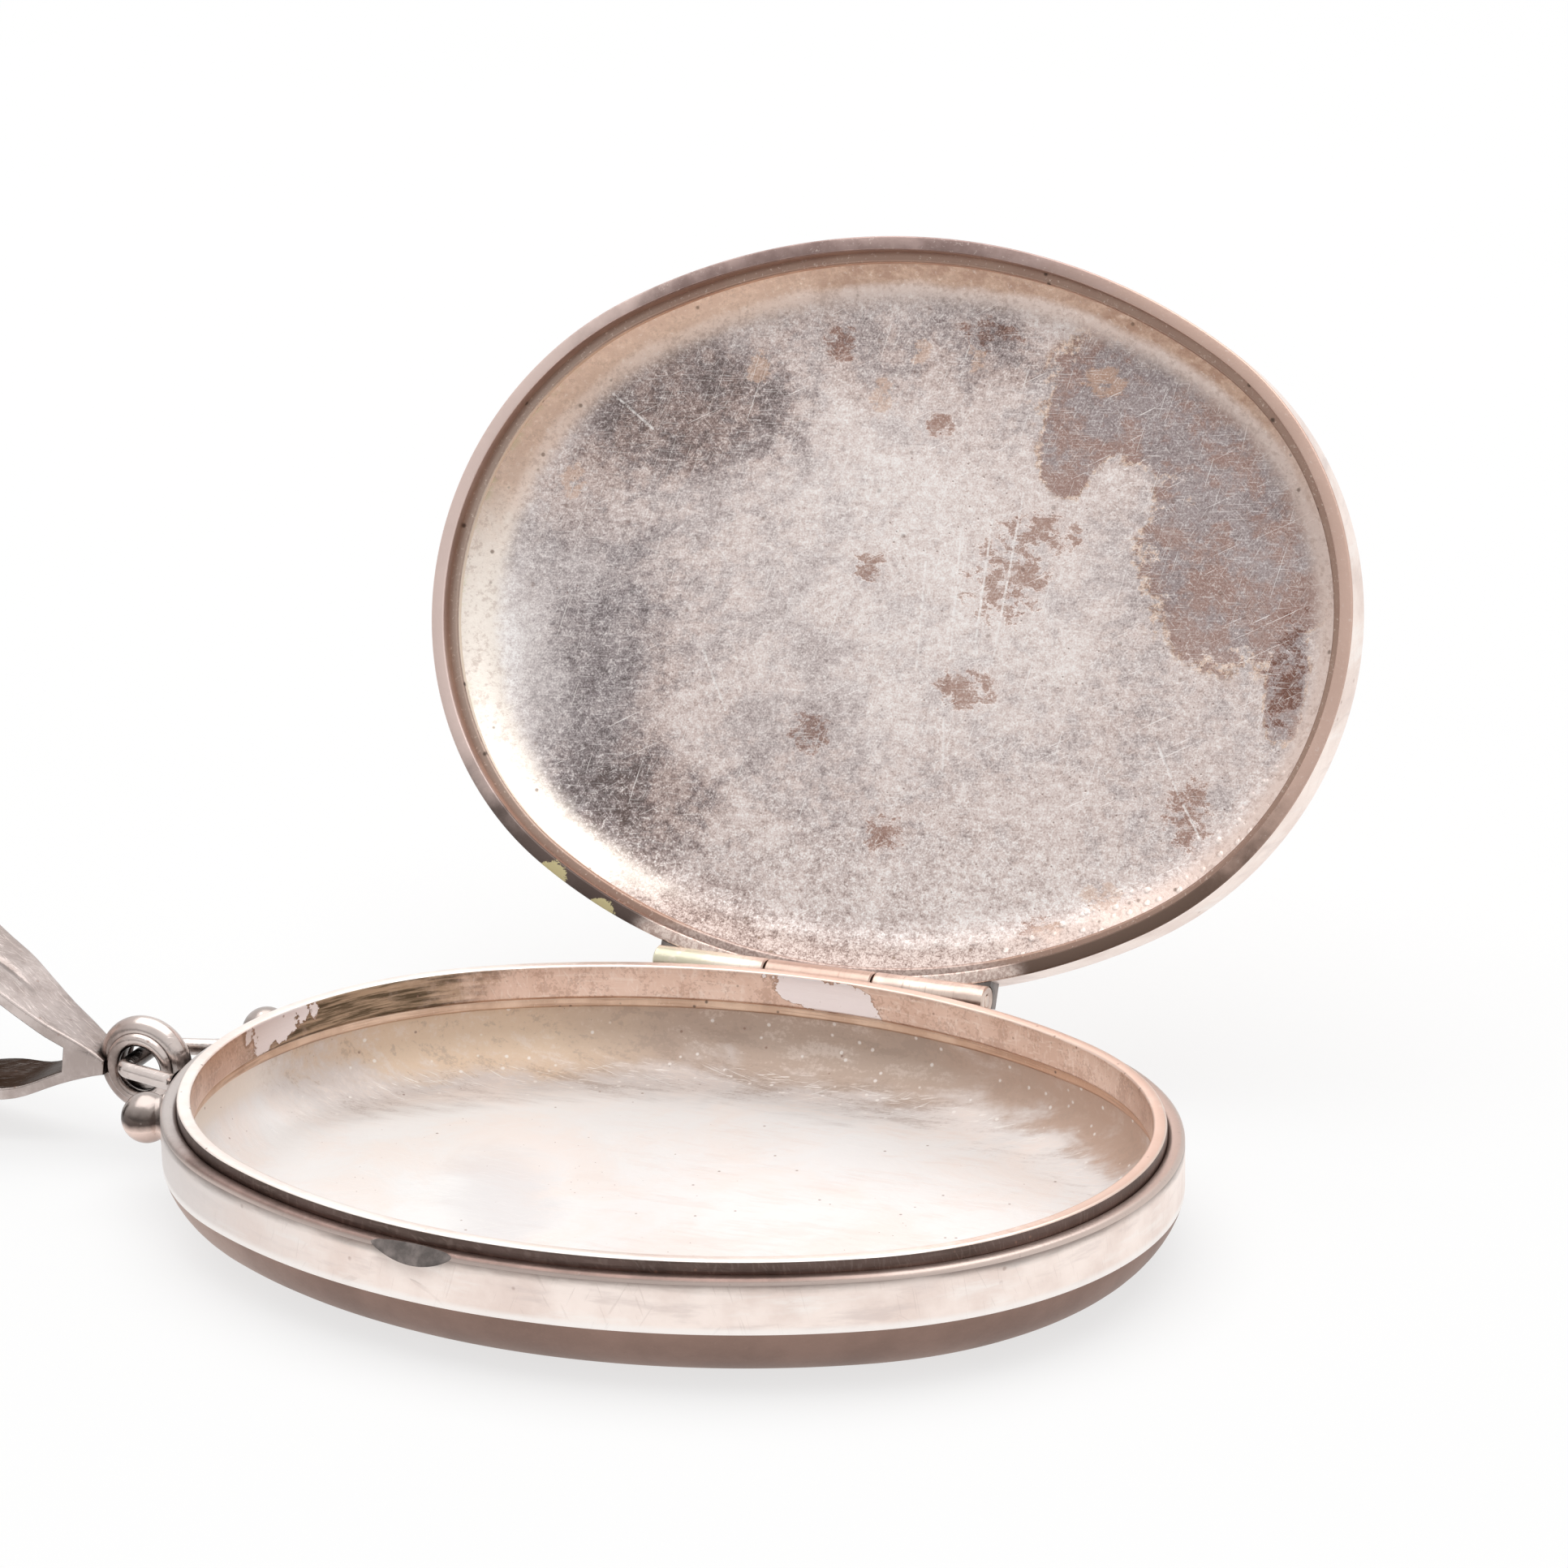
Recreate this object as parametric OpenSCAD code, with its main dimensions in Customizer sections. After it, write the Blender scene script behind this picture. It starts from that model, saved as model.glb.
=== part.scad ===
// Oval silver locket: two shallow pans on a three-knuckle hinge, an end staple with two granules,
// and a folded-strap bail that swings on the staple. The lid stands open against its hinge stop.
// Frame: millimetres, +Z up, origin at the middle of the flat underside, bail towards -X, hinge towards +Y.

/* [Case] */
// Overall length of the oval case
case_len = 40; // [36:0.5:44]
// Overall width of the oval case
case_wid = 31; // [28:0.2:35]
// Radius of the two long sides of the oval
side_r = 26; // [24:0.5:32]
// Height of the lower half from its underside to the ledge
base_h = 4.5; // [4.2:0.1:5.4]
// Height of the lid from its rim to its top
lid_h = 3; // [2.5:0.1:4.5]
// Width of the ledge, which is the wall of the lower half
wall_t = 0.66; // [0.5:0.02:0.9]
// Thickness of the sheet in the floor and the rounded edge
sheet_t = 0.5; // [0.35:0.05:0.7]
// Radial run of the rounded edge, from the wall to the flat floor
edge_run = 3.2; // [2.4:0.1:4]
// Height that the rounded edge of the lower half takes up
base_rise = 2.4; // [1.8:0.1:2.6]
// Height that the rounded edge of the lid takes up
lid_rise = 1.3; // [0.9:0.1:1.4]
// Gap between the closed lid and the ledge
seam = 0.08; // [0.05:0.01:0.15]

/* [Lip and bearers] */
// Thickness of the snap lip inside the lower half
lip_t = 0.55; // [0.4:0.05:0.8]
// Height of the lip above the ledge
lip_rise = 0.46; // [0.3:0.02:0.6]
// Depth of the lip strip below the ledge
lip_depth = 0.94; // [0.6:0.02:1.1]
// Clearance between the lip and the lid's wall
lip_fit = 0.1; // [0.06:0.01:0.15]
// Width of the bearer wire in either half
bearer_w = 0.4; // [0.3:0.05:0.6]
// Height of the bearer wire in either half
bearer_h = 0.45; // [0.3:0.05:0.6]
// Clearance between the lip's top and the lid's bearer when shut
bearer_gap = 0.2; // [0.1:0.02:0.3]

/* [Thumb notch] */
// Middle of the notch along the case
notch_x = -3.9; // [-6:0.1:6]
// Width of the notch at the ledge
notch_w = 3.4; // [2.8:0.1:5]
// Height of the notch below the ledge
notch_h = 0.55; // [0.4:0.05:1]
// Depth of the notch in the wall at the ledge
notch_d = 0.32; // [0.2:0.02:0.45]

/* [Hinge] */
// Length of the hinge over its three knuckles
hinge_len = 14.4; // [12:0.2:16]
// Length of the middle knuckle
mid_len = 4.6; // [3.6:0.2:5.6]
// Diameter of the knuckles
knuckle_d = 1.24; // [1:0.02:1.4]
// Diameter of the hinge pin
pin_d = 0.5; // [0.4:0.02:0.6]
// Radial clearance of the pin in the lid's knuckles
pin_fit = 0.03; // [0.02:0.005:0.05]
// Clearance round and between knuckles of different halves
swing_gap = 0.08; // [0.06:0.01:0.12]
// Distance of the hinge axis inside the case's side
hinge_inset = 0.19; // [0.1:0.01:0.3]
// Angle of the lid from shut to its stop
lid_open = 115.6; // [100:0.2:125]
// Reach of the lower joint seat past the hinge axis
seat_out = 0.8; // [0.7:0.05:1]
// Sheet left under the knuckles in either joint seat
seat_t = 0.45; // [0.35:0.05:0.6]

/* [Bail fittings] */
// Diameter of the staple's wire
wire_d = 0.68; // [0.5:0.02:0.8]
// Distance of the staple's tip outside the case's end
staple_reach = 2.88; // [2.6:0.02:3.4]
// Height of the staple above the underside
staple_z = 3.74; // [3.4:0.02:3.9]
// Length of the staple's tip between the middles of its legs
staple_tip = 2.7; // [2.5:0.05:3.2]
// Spread of each leg away from straight
staple_splay = 15; // [0:1:20]
// Radius of the staple's bends
staple_bend = 0.5; // [0.4:0.05:0.7]
// Diameter of the two granules
granule_d = 2; // [1.6:0.1:2.4]
// Distance between the middles of the granules
granule_pitch = 9.94; // [8:0.2:12]
// Depth that the granules are let into the wall's line
granule_sink = 0.3; // [0.2:0.05:0.5]
// Height of the granules above the underside
granule_z = 3.45; // [3.4:0.05:3.5]

/* [Bail] */
// Outer diameter of the bail's eye
eye_d = 4; // [3.6:0.1:4.4]
// Bore of the bail's eye
eye_bore = 1.86; // [1.6:0.02:2]
// Diameter of the bead along each edge of the eye
bead_d = 0.54; // [0.4:0.02:0.6]
// Width of the eye between the middles of its beads
eye_w = 1.04; // [0.9:0.02:1.1]
// Play left between the eye and the staple where they bear
eye_play = 0.2; // [0.1:0.02:0.25]
// Outer diameter of the strap's loop
loop_d = 11; // [9.6:0.2:12]
// Distance from the eye's middle to the loop's middle
loop_reach = 14.4; // [13:0.2:16]
// Distance from the eye's middle to where the straps' outer faces meet
strap_root = 0.8; // [0.4:0.1:1]
// Thickness of the strap round the loop
strap_t = 0.42; // [0.3:0.02:0.6]
// Width of the strap at the fold
strap_w = 6.4; // [5:0.2:7.4]
// Width of the strap where it meets the eye
neck_w = 1.6; // [1.2:0.1:1.7]
// Distance of the straps' meeting below the bail's middle line
neck_drop = 0.35; // [0:0.05:0.5]
// Distance from the eye's middle to the fork of the two straps
fork_reach = 3.2; // [3:0.1:4.2]
// Height of the web in the fork
fork_h = 1; // [0.6:0.05:1.1]
// Clearance of the resting bail above the ground plane
rest_gap = 0.02; // [0.01:0.01:0.1]

/* [Hidden] */
$fn = 256;

silver = "#b9aea6";
silver_dark = "#7d716b";
silver_pale = "#d8cec7";

// Room that a cutting solid takes past what it cuts
over = 1;

// The oval: two end arcs and two side arcs that meet without a corner
half_len = case_len / 2;
half_wid = case_wid / 2;
end_r = (case_wid * side_r - pow(half_len, 2) - pow(half_wid, 2)) / (2 * side_r - case_len);
end_x = half_len - end_r;
side_y = side_r - half_wid;
join_a = atan2(side_y, end_x);

// Corners of the oval, as the directions of its normal: short steps round the ends, then along the sides
end_steps = 20;
side_steps = 16;
end_dirs = [for (k = [0:end_steps - 1]) 2 * join_a * k / end_steps - join_a];
side_dirs = [for (k = [0:side_steps - 1]) join_a + (180 - 2 * join_a) * k / side_steps];
half_dirs = concat(end_dirs, side_dirs);
oval_dirs = concat(half_dirs, [for (a = half_dirs) a + 180]);

// Steps round the rounded edge of a pan
edge_steps = 5;

lid_wall = wall_t - lip_fit;
rim_z = base_h + seam;
lid_bearer_drop = lip_rise - seam + bearer_gap;

hinge_y = half_wid - hinge_inset;
hinge_z = base_h;
knuckle_r = knuckle_d / 2;
pin_r = pin_d / 2;
side_knuckle_x = mid_len / 2 + swing_gap;
side_knuckle_len = hinge_len / 2 - side_knuckle_x;
seat_drop = knuckle_r + seat_t;
// Distance of the lid seats' back face from the hinge axis, a hair outside the case's side
seat_proud = 0.02;
seat_back = hinge_inset + seat_proud;

wire_r = wire_d / 2;
staple_x = -(half_len + staple_reach);
staple_turn = 90 - staple_splay;
bend_run = staple_bend * tan(staple_turn / 2);
granule_r = granule_d / 2;
granule_lean = asin(granule_pitch / 2 / (end_r + granule_r - granule_sink));

bore_r = eye_bore / 2;
bead_r = bead_d / 2;
core_r = (eye_d / 2 - bore_r) / 2;
// The eye hangs on the staple, down and towards the case at this angle
hang_a = -38;
hang = bore_r - wire_r - eye_play;
eye_x = staple_x + hang * cos(hang_a);
eye_z = staple_z + hang * sin(hang_a);

loop_r = loop_d / 2;
loop_steps = 48;
neck_run = loop_reach - strap_root;
neck_a = atan2(neck_drop, neck_run);
strap_half = asin(loop_r / norm([neck_run, neck_drop]));
fork_drop = neck_drop * (loop_reach - fork_reach) / neck_run;
// The bail leans so that its loop lies on the ground
bail_tilt = asin((loop_r + rest_gap - eye_z) / loop_reach);
leaf_run = loop_reach + loop_r - eye_d / 2;
leaf_drop = (strap_w - neck_w) / 2;
leaf_r = (pow(leaf_run, 2) + pow(leaf_drop, 2)) / (2 * leaf_drop);

// A point on the oval, moved in by an inset, where its normal has the given angle
function oval_point(angle, inset) =
    abs(cos(angle)) > cos(join_a)
        ? [sign(cos(angle)) * end_x + (end_r - inset) * cos(angle), (end_r - inset) * sin(angle)]
        : [(side_r - inset) * cos(angle), (side_r - inset) * sin(angle) - sign(sin(angle)) * side_y];

// Radius of the rounded edge that rises by the given height over its run
function edge_r(rise) = (pow(edge_run, 2) + pow(rise, 2)) / (2 * rise);

// The oval's outline, moved in by an inset
function oval(inset) = [for (a = oval_dirs) oval_point(a, inset)];

// A straight ring of the given width, with its outer face at an inset from the case's side
module oval_ring(inset, width, z, height) {
    translate([0, 0, z])
        linear_extrude(height)
            difference() {
                polygon(oval(inset));
                polygon(oval(inset + width));
            }
}

// An arc of a pan's rounded edge, from the flat floor to the given inset, as pairs of inset and height
function edge_arc(rise, thick, inset) =
    let(
        radius = edge_r(rise) - thick,
        turn = asin((edge_run - inset) / radius)
    )
    [
        for (k = [0:edge_steps])
            [
                edge_run - radius * sin(turn * k / edge_steps),
                thick + radius * (1 - cos(turn * k / edge_steps))
            ]
    ];

// A pan that stands on its floor: its section runs from the underside over the rim to the inner floor
module pan(height, rise, wall) {
    inner = edge_arc(rise, sheet_t, wall);
    section = concat(
        edge_arc(rise, 0, 0),
        [[0, height], [wall, height]],
        [for (k = [edge_steps:-1:0]) inner[k]]
    );
    rings = len(section);
    count = len(oval_dirs);
    corners = [for (p = section) for (q = oval(p[0])) [q[0], q[1], p[1]]];
    sides = [
        for (i = [0:rings - 2])
            for (k = [0:count - 1])
                let(next = (k + 1) % count)
                [i * count + k, (i + 1) * count + k, (i + 1) * count + next, i * count + next]
    ];
    underside = [for (k = [0:count - 1]) k];
    floor_face = [for (k = [count - 1:-1:0]) (rings - 1) * count + k];
    polyhedron(corners, concat(sides, [underside, floor_face]));
}

// Turns what is drawn for the shut lid to where the open lid stands
module opened() {
    translate([0, hinge_y, hinge_z])
        rotate([-lid_open, 0, 0])
            translate([0, -hinge_y, -hinge_z])
                children();
}

// A bar along the hinge axis
module hinge_bar(radius, x, length) {
    translate([x, hinge_y, hinge_z])
        rotate([0, 90, 0])
            cylinder(r = radius, h = length);
}

// Room for the knuckles: one radius along the middle knuckle, another along the two outer ones
module hinge_room(mid_r, outer_r) {
    hinge_bar(mid_r, -mid_len / 2, mid_len);
    for (side = [0, 1])
        mirror([side, 0, 0])
            hinge_bar(outer_r, mid_len / 2, hinge_len / 2 - mid_len / 2 + swing_gap);
}

// A knuckle with its bore
module knuckle(x, length, bore) {
    difference() {
        hinge_bar(knuckle_r, x, length);
        hinge_bar(bore, x - over, length + 2 * over);
    }
}

// A bar along X with its section drawn from the hinge axis: x is outwards, y is up
module seat_bar(x, length) {
    translate([x, hinge_y, hinge_z])
        rotate([90, 0, 90])
            linear_extrude(length)
                children();
}

// The long side's outer face, as a solid to cut against
module back_wall() {
    translate([0, -side_y, -over])
        cylinder(r = side_r, h = base_h + lid_h + 2 * over);
}

// The end's outer face, as a solid to cut against
module end_wall() {
    translate([-end_x, 0, -over])
        cylinder(r = end_r, h = base_h + lid_h + 2 * over);
}

module base_pan() {
    // The notch is a scoop by a ball whose middle stands above the ledge
    rise = notch_h;
    half = notch_w / 2;
    lift = (pow(half, 2) - pow(rise, 2)) / (2 * rise);
    ring = rise + lift;
    bite = notch_d * pow(ring, 2) / pow(half, 2);
    ball_r = (pow(ring, 2) + pow(bite, 2)) / (2 * bite);
    wall_y = side_y - sqrt(pow(side_r, 2) - pow(notch_x, 2));
    color(silver)
        difference() {
            pan(base_h, base_rise, wall_t);
            hinge_room(knuckle_r, knuckle_r + swing_gap);
            translate([notch_x, wall_y + bite - ball_r, base_h + lift])
                sphere(r = ball_r);
        }
}

module lip_strip() {
    color(silver_pale)
        difference() {
            oval_ring(wall_t, lip_t, base_h - lip_depth, lip_depth + lip_rise);
            hinge_room(knuckle_r, knuckle_r + swing_gap);
        }
}

module base_bearer() {
    color(silver_dark)
        oval_ring(wall_t, bearer_w, base_h - lip_depth - bearer_h, bearer_h);
}

// The seat under the hinge: its sloping top is the stop that the open lid leans on
module base_joint_seat() {
    stop = seat_back + swing_gap;
    flat = swing_gap / 2;
    slope = tan(lid_open - 90);
    reach = stop / cos(lid_open - 90);
    color(silver_dark)
        difference() {
            seat_bar(-hinge_len / 2, hinge_len)
                polygon([
                    [-half_wid / 2, -seat_drop],
                    [seat_out, -seat_drop],
                    [seat_out, -reach - seat_out * slope],
                    [(flat - reach) / slope, -flat],
                    [-half_wid / 2, -flat]
                ]);
            hinge_room(knuckle_r, knuckle_r + swing_gap);
            back_wall();
        }
}

module base_knuckle() {
    color(silver_pale)
        knuckle(-mid_len / 2, mid_len, pin_r);
}

module hinge_pin() {
    color(silver_dark)
        hinge_bar(pin_r, -hinge_len / 2, hinge_len);
}

module lid_pan() {
    color(silver)
        opened()
            difference() {
                translate([0, 0, rim_z + lid_h])
                    mirror([0, 0, 1])
                        pan(lid_h, lid_rise, lid_wall);
                hinge_room(knuckle_r + swing_gap, knuckle_r);
            }
}

module lid_bearer() {
    color(silver_dark)
        opened()
            difference() {
                oval_ring(lid_wall, bearer_w, rim_z + lid_bearer_drop, bearer_h);
                hinge_room(knuckle_r + swing_gap, knuckle_r);
            }
}

// A wedge between one of the lid's knuckles and the lid's wall
module lid_joint_seat(side) {
    color(silver_dark)
        opened()
            mirror([side, 0, 0])
                difference() {
                    seat_bar(side_knuckle_x, side_knuckle_len)
                        polygon([
                            [-half_wid / 2, seam],
                            [seat_back, seam],
                            [seat_back, seat_drop],
                            [-half_wid / 2, seat_drop]
                        ]);
                    hinge_bar(knuckle_r, 0, hinge_len);
                    back_wall();
                }
}

module lid_joint_seat_left() {
    lid_joint_seat(1);
}

module lid_joint_seat_right() {
    lid_joint_seat(0);
}

module lid_knuckle(side) {
    color(silver_pale)
        opened()
            mirror([side, 0, 0])
                knuckle(side_knuckle_x, side_knuckle_len, pin_r + pin_fit);
}

module lid_knuckle_left() {
    lid_knuckle(1);
}

module lid_knuckle_right() {
    lid_knuckle(0);
}

// One half of the staple: half its tip, a bend and a leg that runs to the wall
module staple_half() {
    straight = staple_tip / 2 - bend_run;
    leg = staple_reach + end_r / 2;
    translate([0, over / 100, 0])
        rotate([90, 0, 0])
            cylinder(r = wire_r, h = straight + over / 100);
    translate([staple_bend, -straight, 0])
        rotate([0, 0, 180]) {
            rotate_extrude(angle = staple_turn)
                translate([staple_bend, 0])
                    circle(wire_r);
            rotate([0, 0, staple_turn])
                translate([staple_bend, 0, 0])
                    rotate([-90, 0, 0])
                        cylinder(r = wire_r, h = leg);
        }
}

module end_staple() {
    color(silver_dark)
        difference() {
            translate([staple_x, 0, staple_z])
                for (side = [0, 1])
                    mirror([0, side, 0])
                        staple_half();
            end_wall();
        }
}

module granule(side) {
    color(silver_dark)
        difference() {
            translate([-end_x, 0, granule_z])
                rotate([0, 0, 180 - side * granule_lean])
                    translate([end_r + granule_r - granule_sink, 0, 0])
                        sphere(r = granule_r);
            end_wall();
        }
}

module granule_front() {
    granule(-1);
}

module granule_back() {
    granule(1);
}

// The eye: a round band between two beads, on an axis along Y
module eye_body() {
    translate([eye_x, 0, eye_z])
        rotate([90, 0, 0])
            rotate_extrude()
                intersection() {
                    union() {
                        translate([eye_d / 2 - core_r, 0])
                            circle(core_r);
                        for (side = [-1, 1])
                            translate([bore_r + bead_r, side * eye_w / 2])
                                circle(bead_r);
                        translate([bore_r, -eye_w / 2])
                            square([bead_r, eye_w]);
                    }
                    translate([bore_r, -eye_d / 2])
                        square(eye_d);
                }
}

module bail_eye() {
    color(silver)
        eye_body();
}

// Side outline of the strap: a tip by the eye and an arc round the loop
module strap_outline(tip, radius) {
    turn = 90 + strap_half;
    arc = [for (k = [0:loop_steps]) turn - neck_a - 2 * turn * k / loop_steps];
    polygon(concat(tip, [for (a = arc) [loop_reach + radius * cos(a), radius * sin(a)]]));
}

module bail_strap() {
    fork = [for (side = [-1, 1]) [fork_reach, fork_drop + side * fork_h / 2]];
    color(silver)
        difference() {
            translate([eye_x, 0, eye_z])
                rotate([90, 0, 0])
                    rotate([0, 0, 180 - bail_tilt])
                        intersection() {
                            linear_extrude(strap_w + over, center = true)
                                difference() {
                                    strap_outline([[strap_root, neck_drop]], loop_r);
                                    strap_outline(fork, loop_r - strap_t);
                                }
                            rotate([90, 0, 0])
                                linear_extrude(4 * loop_d, center = true)
                                    intersection() {
                                        translate([loop_reach + loop_r, leaf_r - strap_w / 2])
                                            circle(leaf_r);
                                        translate([loop_reach + loop_r, strap_w / 2 - leaf_r])
                                            circle(leaf_r);
                                    }
                        }
            eye_body();
            translate([eye_x, 0, eye_z])
                rotate([90, 0, 0])
                    cylinder(r = eye_d / 2 - core_r, h = strap_w, center = true);
        }
}

base_pan();
lip_strip();
base_bearer();
base_joint_seat();
base_knuckle();
hinge_pin();
lid_pan();
lid_bearer();
lid_joint_seat_left();
lid_joint_seat_right();
lid_knuckle_left();
lid_knuckle_right();
end_staple();
granule_front();
granule_back();
bail_eye();
bail_strap();
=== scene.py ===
import math
import bpy
import bmesh
from mathutils import Matrix, Vector, noise


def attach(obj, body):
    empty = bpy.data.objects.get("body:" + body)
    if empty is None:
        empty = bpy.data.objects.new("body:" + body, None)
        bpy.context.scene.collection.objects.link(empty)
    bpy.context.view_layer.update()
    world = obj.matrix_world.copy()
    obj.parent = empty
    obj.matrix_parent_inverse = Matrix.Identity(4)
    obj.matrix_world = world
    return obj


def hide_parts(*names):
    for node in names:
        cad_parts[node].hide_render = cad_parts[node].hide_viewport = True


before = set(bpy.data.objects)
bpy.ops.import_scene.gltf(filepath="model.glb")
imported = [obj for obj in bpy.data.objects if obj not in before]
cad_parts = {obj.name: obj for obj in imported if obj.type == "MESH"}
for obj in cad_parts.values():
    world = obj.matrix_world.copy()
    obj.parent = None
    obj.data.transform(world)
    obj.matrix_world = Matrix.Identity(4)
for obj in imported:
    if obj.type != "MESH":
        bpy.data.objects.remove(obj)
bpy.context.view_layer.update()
mm = 0.001
print("frame loaded:", len(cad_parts), "nodes")


# Shader wiring
class Wire:
    def __init__(self, tree, socket):
        self.tree = tree
        self.socket = socket

    def math(self, operation, first, second):
        node = self.tree.nodes.new("ShaderNodeMath")
        node.operation = operation
        for socket, value in zip(node.inputs, (first, second)):
            plug(self.tree, socket, value)
        return Wire(self.tree, node.outputs[0])

    def least(self, other):
        return self.math("MINIMUM", self, other)

    def most(self, other):
        return self.math("MAXIMUM", self, other)

    def sway(self, amount):
        # a cloud's swing about its middle
        return (self - 0.5) * amount


def overload(sign, operation):
    # a + b and its reflected form, for one sign
    setattr(Wire, "__%s__" % sign, lambda wire, other: wire.math(operation, wire, other))
    setattr(Wire, "__r%s__" % sign, lambda wire, other: wire.math(operation, other, wire))


for sign, operation in (
        ("add", "ADD"), ("sub", "SUBTRACT"), ("mul", "MULTIPLY"), ("truediv", "DIVIDE"), ("pow", "POWER")):
    overload(sign, operation)


def plug(tree, socket, value):
    if isinstance(value, Wire):
        tree.links.new(value.socket, socket)
    else:
        socket.default_value = value


def tone(red, green, blue):
    # screen colour to the linear colour a socket takes
    line = [c / 255 / 12.92 if c <= 10 else ((c / 255 + 0.055) / 1.055) ** 2.4 for c in (red, green, blue)]
    return (*line, 1.0)


class Graph:
    # a node tree, with short ways to add the nodes that the finishes share
    def __init__(self, tree):
        self.tree = tree

    def add(self, kind, settings=None, sockets=None, out=0):
        node = self.tree.nodes.new("ShaderNode" + kind)
        for key, value in (settings or {}).items():
            if key == "stops":
                band = node.color_ramp.elements
                band[0].position, band[0].color = value[0]
                band[1].position, band[1].color = value[-1]
                for at, colour in value[1:-1]:
                    band.new(at).color = colour
            else:
                setattr(node, key, value)
        for key, value in (sockets or {}).items():
            plug(self.tree, node.inputs[key], value)
        return Wire(self.tree, node.outputs[out])

    def axes(self, vector):
        split = self.add("SeparateXYZ", None, {0: vector})
        return [Wire(self.tree, s) for s in split.socket.node.outputs]

    def fade(self, value, low, high):
        # 0 at low and 1 at high, smooth between, low may be above high
        span = (low, high, 0.0, 1.0) if low < high else (high, low, 1.0, 0.0)
        return self.add("MapRange", {"interpolation_type": "SMOOTHSTEP"}, dict(enumerate((value, *span))))


class Finish(Graph):
    def __init__(self, name):
        self.material = bpy.data.materials.new(name)
        self.material.use_nodes = True
        Graph.__init__(self, self.material.node_tree)
        self.shader = self.tree.nodes["Principled BSDF"]
        self.point = self.add("TexCoord", out="Object")

    def place(self, scale=(1, 1, 1), turn=(0, 0, 0), shift=(0, 0, 0), source=None):
        turn = [math.radians(a) for a in turn]
        return self.add("Mapping", {"vector_type": "POINT"}, {
            "Vector": source or self.point, "Scale": scale, "Rotation": turn, "Location": shift})

    def onCase(self, *clouds):
        # millimetres from the middle of the underside, and clouds that are placed by them
        point = self.place((1 / mm, 1 / mm, 1 / mm))
        return (point, *self.axes(point), *(self.cloud(point, *c) for c in clouds))

    def onLid(self, *clouds):
        # millimetres across the open lid and up from the hinge
        point = self.add("Mapping", {"vector_type": "TEXTURE"}, {
            "Vector": self.point, "Location": hingePoint * mm, "Scale": (mm, mm, mm),
            "Rotation": (math.radians(-caseShape["lidOpen"]), 0, 0)})
        x, y, depth = self.axes(point)
        return (point, x, 0 - y, depth, *(self.cloud(point, *c) for c in clouds))

    def cloud(self, vector, scale, detail=3.0, rough=0.55, bend=0.0):
        return self.add("TexNoise", {"noise_dimensions": "3D"}, {
            "Vector": vector, "Scale": scale, "Detail": detail, "Roughness": rough, "Distortion": bend})

    def dots(self, vector, scale, near, far, spread=1.0):
        gap = self.add("TexVoronoi", {"feature": "F1"}, {
            "Vector": vector, "Scale": scale, "Randomness": spread})
        return self.fade(gap, far, near)

    def mix(self, factor, first, second, blend="MIX"):
        settings = {"data_type": "RGBA", "blend_type": blend}
        return self.add("Mix", settings, {0: factor, 6: first, 7: second}, 2)

    def ramp(self, value, stops):
        return self.add("ValToRGB", {"stops": stops}, {0: value})

    def patch(self, across, along, centre, size):
        # oval spot: 1 in its middle, falling to 0 at its edge
        u = (across - centre[0]) / size[0]
        v = (along - centre[1]) / size[1]
        return self.fade(u * u + v * v, 1.0, 0.0)

    def scuffs(self, vector, turn, length, width, low, high):
        # fine scratches that lie along one direction
        lie = self.place((1, 1, 1), turn, (0, 0, 0), vector)
        lie = self.place((1 / length, 1 / width, 1 / length), (0, 0, 0), (3.7, 1.3, 0.4), lie)
        return self.fade(self.cloud(lie, 1.0, 1.5, 0.5, 0.0), low, high)

    def stroke(self, across, along, start, end, width):
        # one scratch between two points
        dx, dy = end[0] - start[0], end[1] - start[1]
        span = dx * dx + dy * dy
        u, v = across - start[0], along - start[1]
        t = ((u * dx + v * dy) / span).most(0.0).least(1.0)
        gapX, gapY = u - t * dx, v - t * dy
        return self.fade((gapX * gapX + gapY * gapY) ** 0.5, width, width * 0.3)

    def lay(self, factor, colour, blend="MIX"):
        # another layer over the colour so far
        self.body = self.mix(factor, self.body, colour, blend)

    def done(self, rough, height, strength, distance, metal=1.0):
        bump = self.add("Bump", None, {"Strength": strength, "Distance": distance, "Height": height})
        sockets = {"Base Color": self.body, "Metallic": metal, "Roughness": rough, "Normal": bump}
        for key, value in sockets.items():
            plug(self.tree, self.shader.inputs[key], value)
        return self.material


# The case's outline: two end arcs and two side arcs that meet without a corner
caseShape = {
    "length": 40.0, "width": 31.0, "sideRadius": 26.0,
    "endSteps": 84, "sideSteps": 64,
    "hingeY": 15.31, "hingeZ": 4.5, "lidOpen": 115.6,
}
halfLength, halfWidth, sideRadius = caseShape["length"] / 2, caseShape["width"] / 2, caseShape["sideRadius"]
endRadius = (2 * halfWidth * sideRadius - halfLength ** 2 - halfWidth ** 2) / (2 * (sideRadius - halfLength))
endX = halfLength - endRadius
sideY = sideRadius - halfWidth
joinTurn = math.atan2(sideY, endX)
hingePoint = Vector((0, caseShape["hingeY"], caseShape["hingeZ"]))
openLid = Matrix.Rotation(math.radians(-caseShape["lidOpen"]), 3, "X")
lengthAxis, sideAxis, upAxis = Vector((1, 0, 0)), Vector((0, 1, 0)), Vector((0, 0, 1))


def insetOf(point):
    x, y = abs(point.x), abs(point.y)
    if (y + sideY) * endX < sideY * x:
        return endRadius - math.hypot(x - endX, y)
    return sideRadius - math.hypot(x, y + sideY)


def spun(bm, geom, centre, axis, angle, steps, merge=False):
    return bmesh.ops.spin(
        bm, geom=geom, cent=centre, axis=axis, dvec=(0, 0, 0), angle=angle, steps=steps,
        use_merge=merge, use_duplicate=False)["geom_last"]


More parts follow.
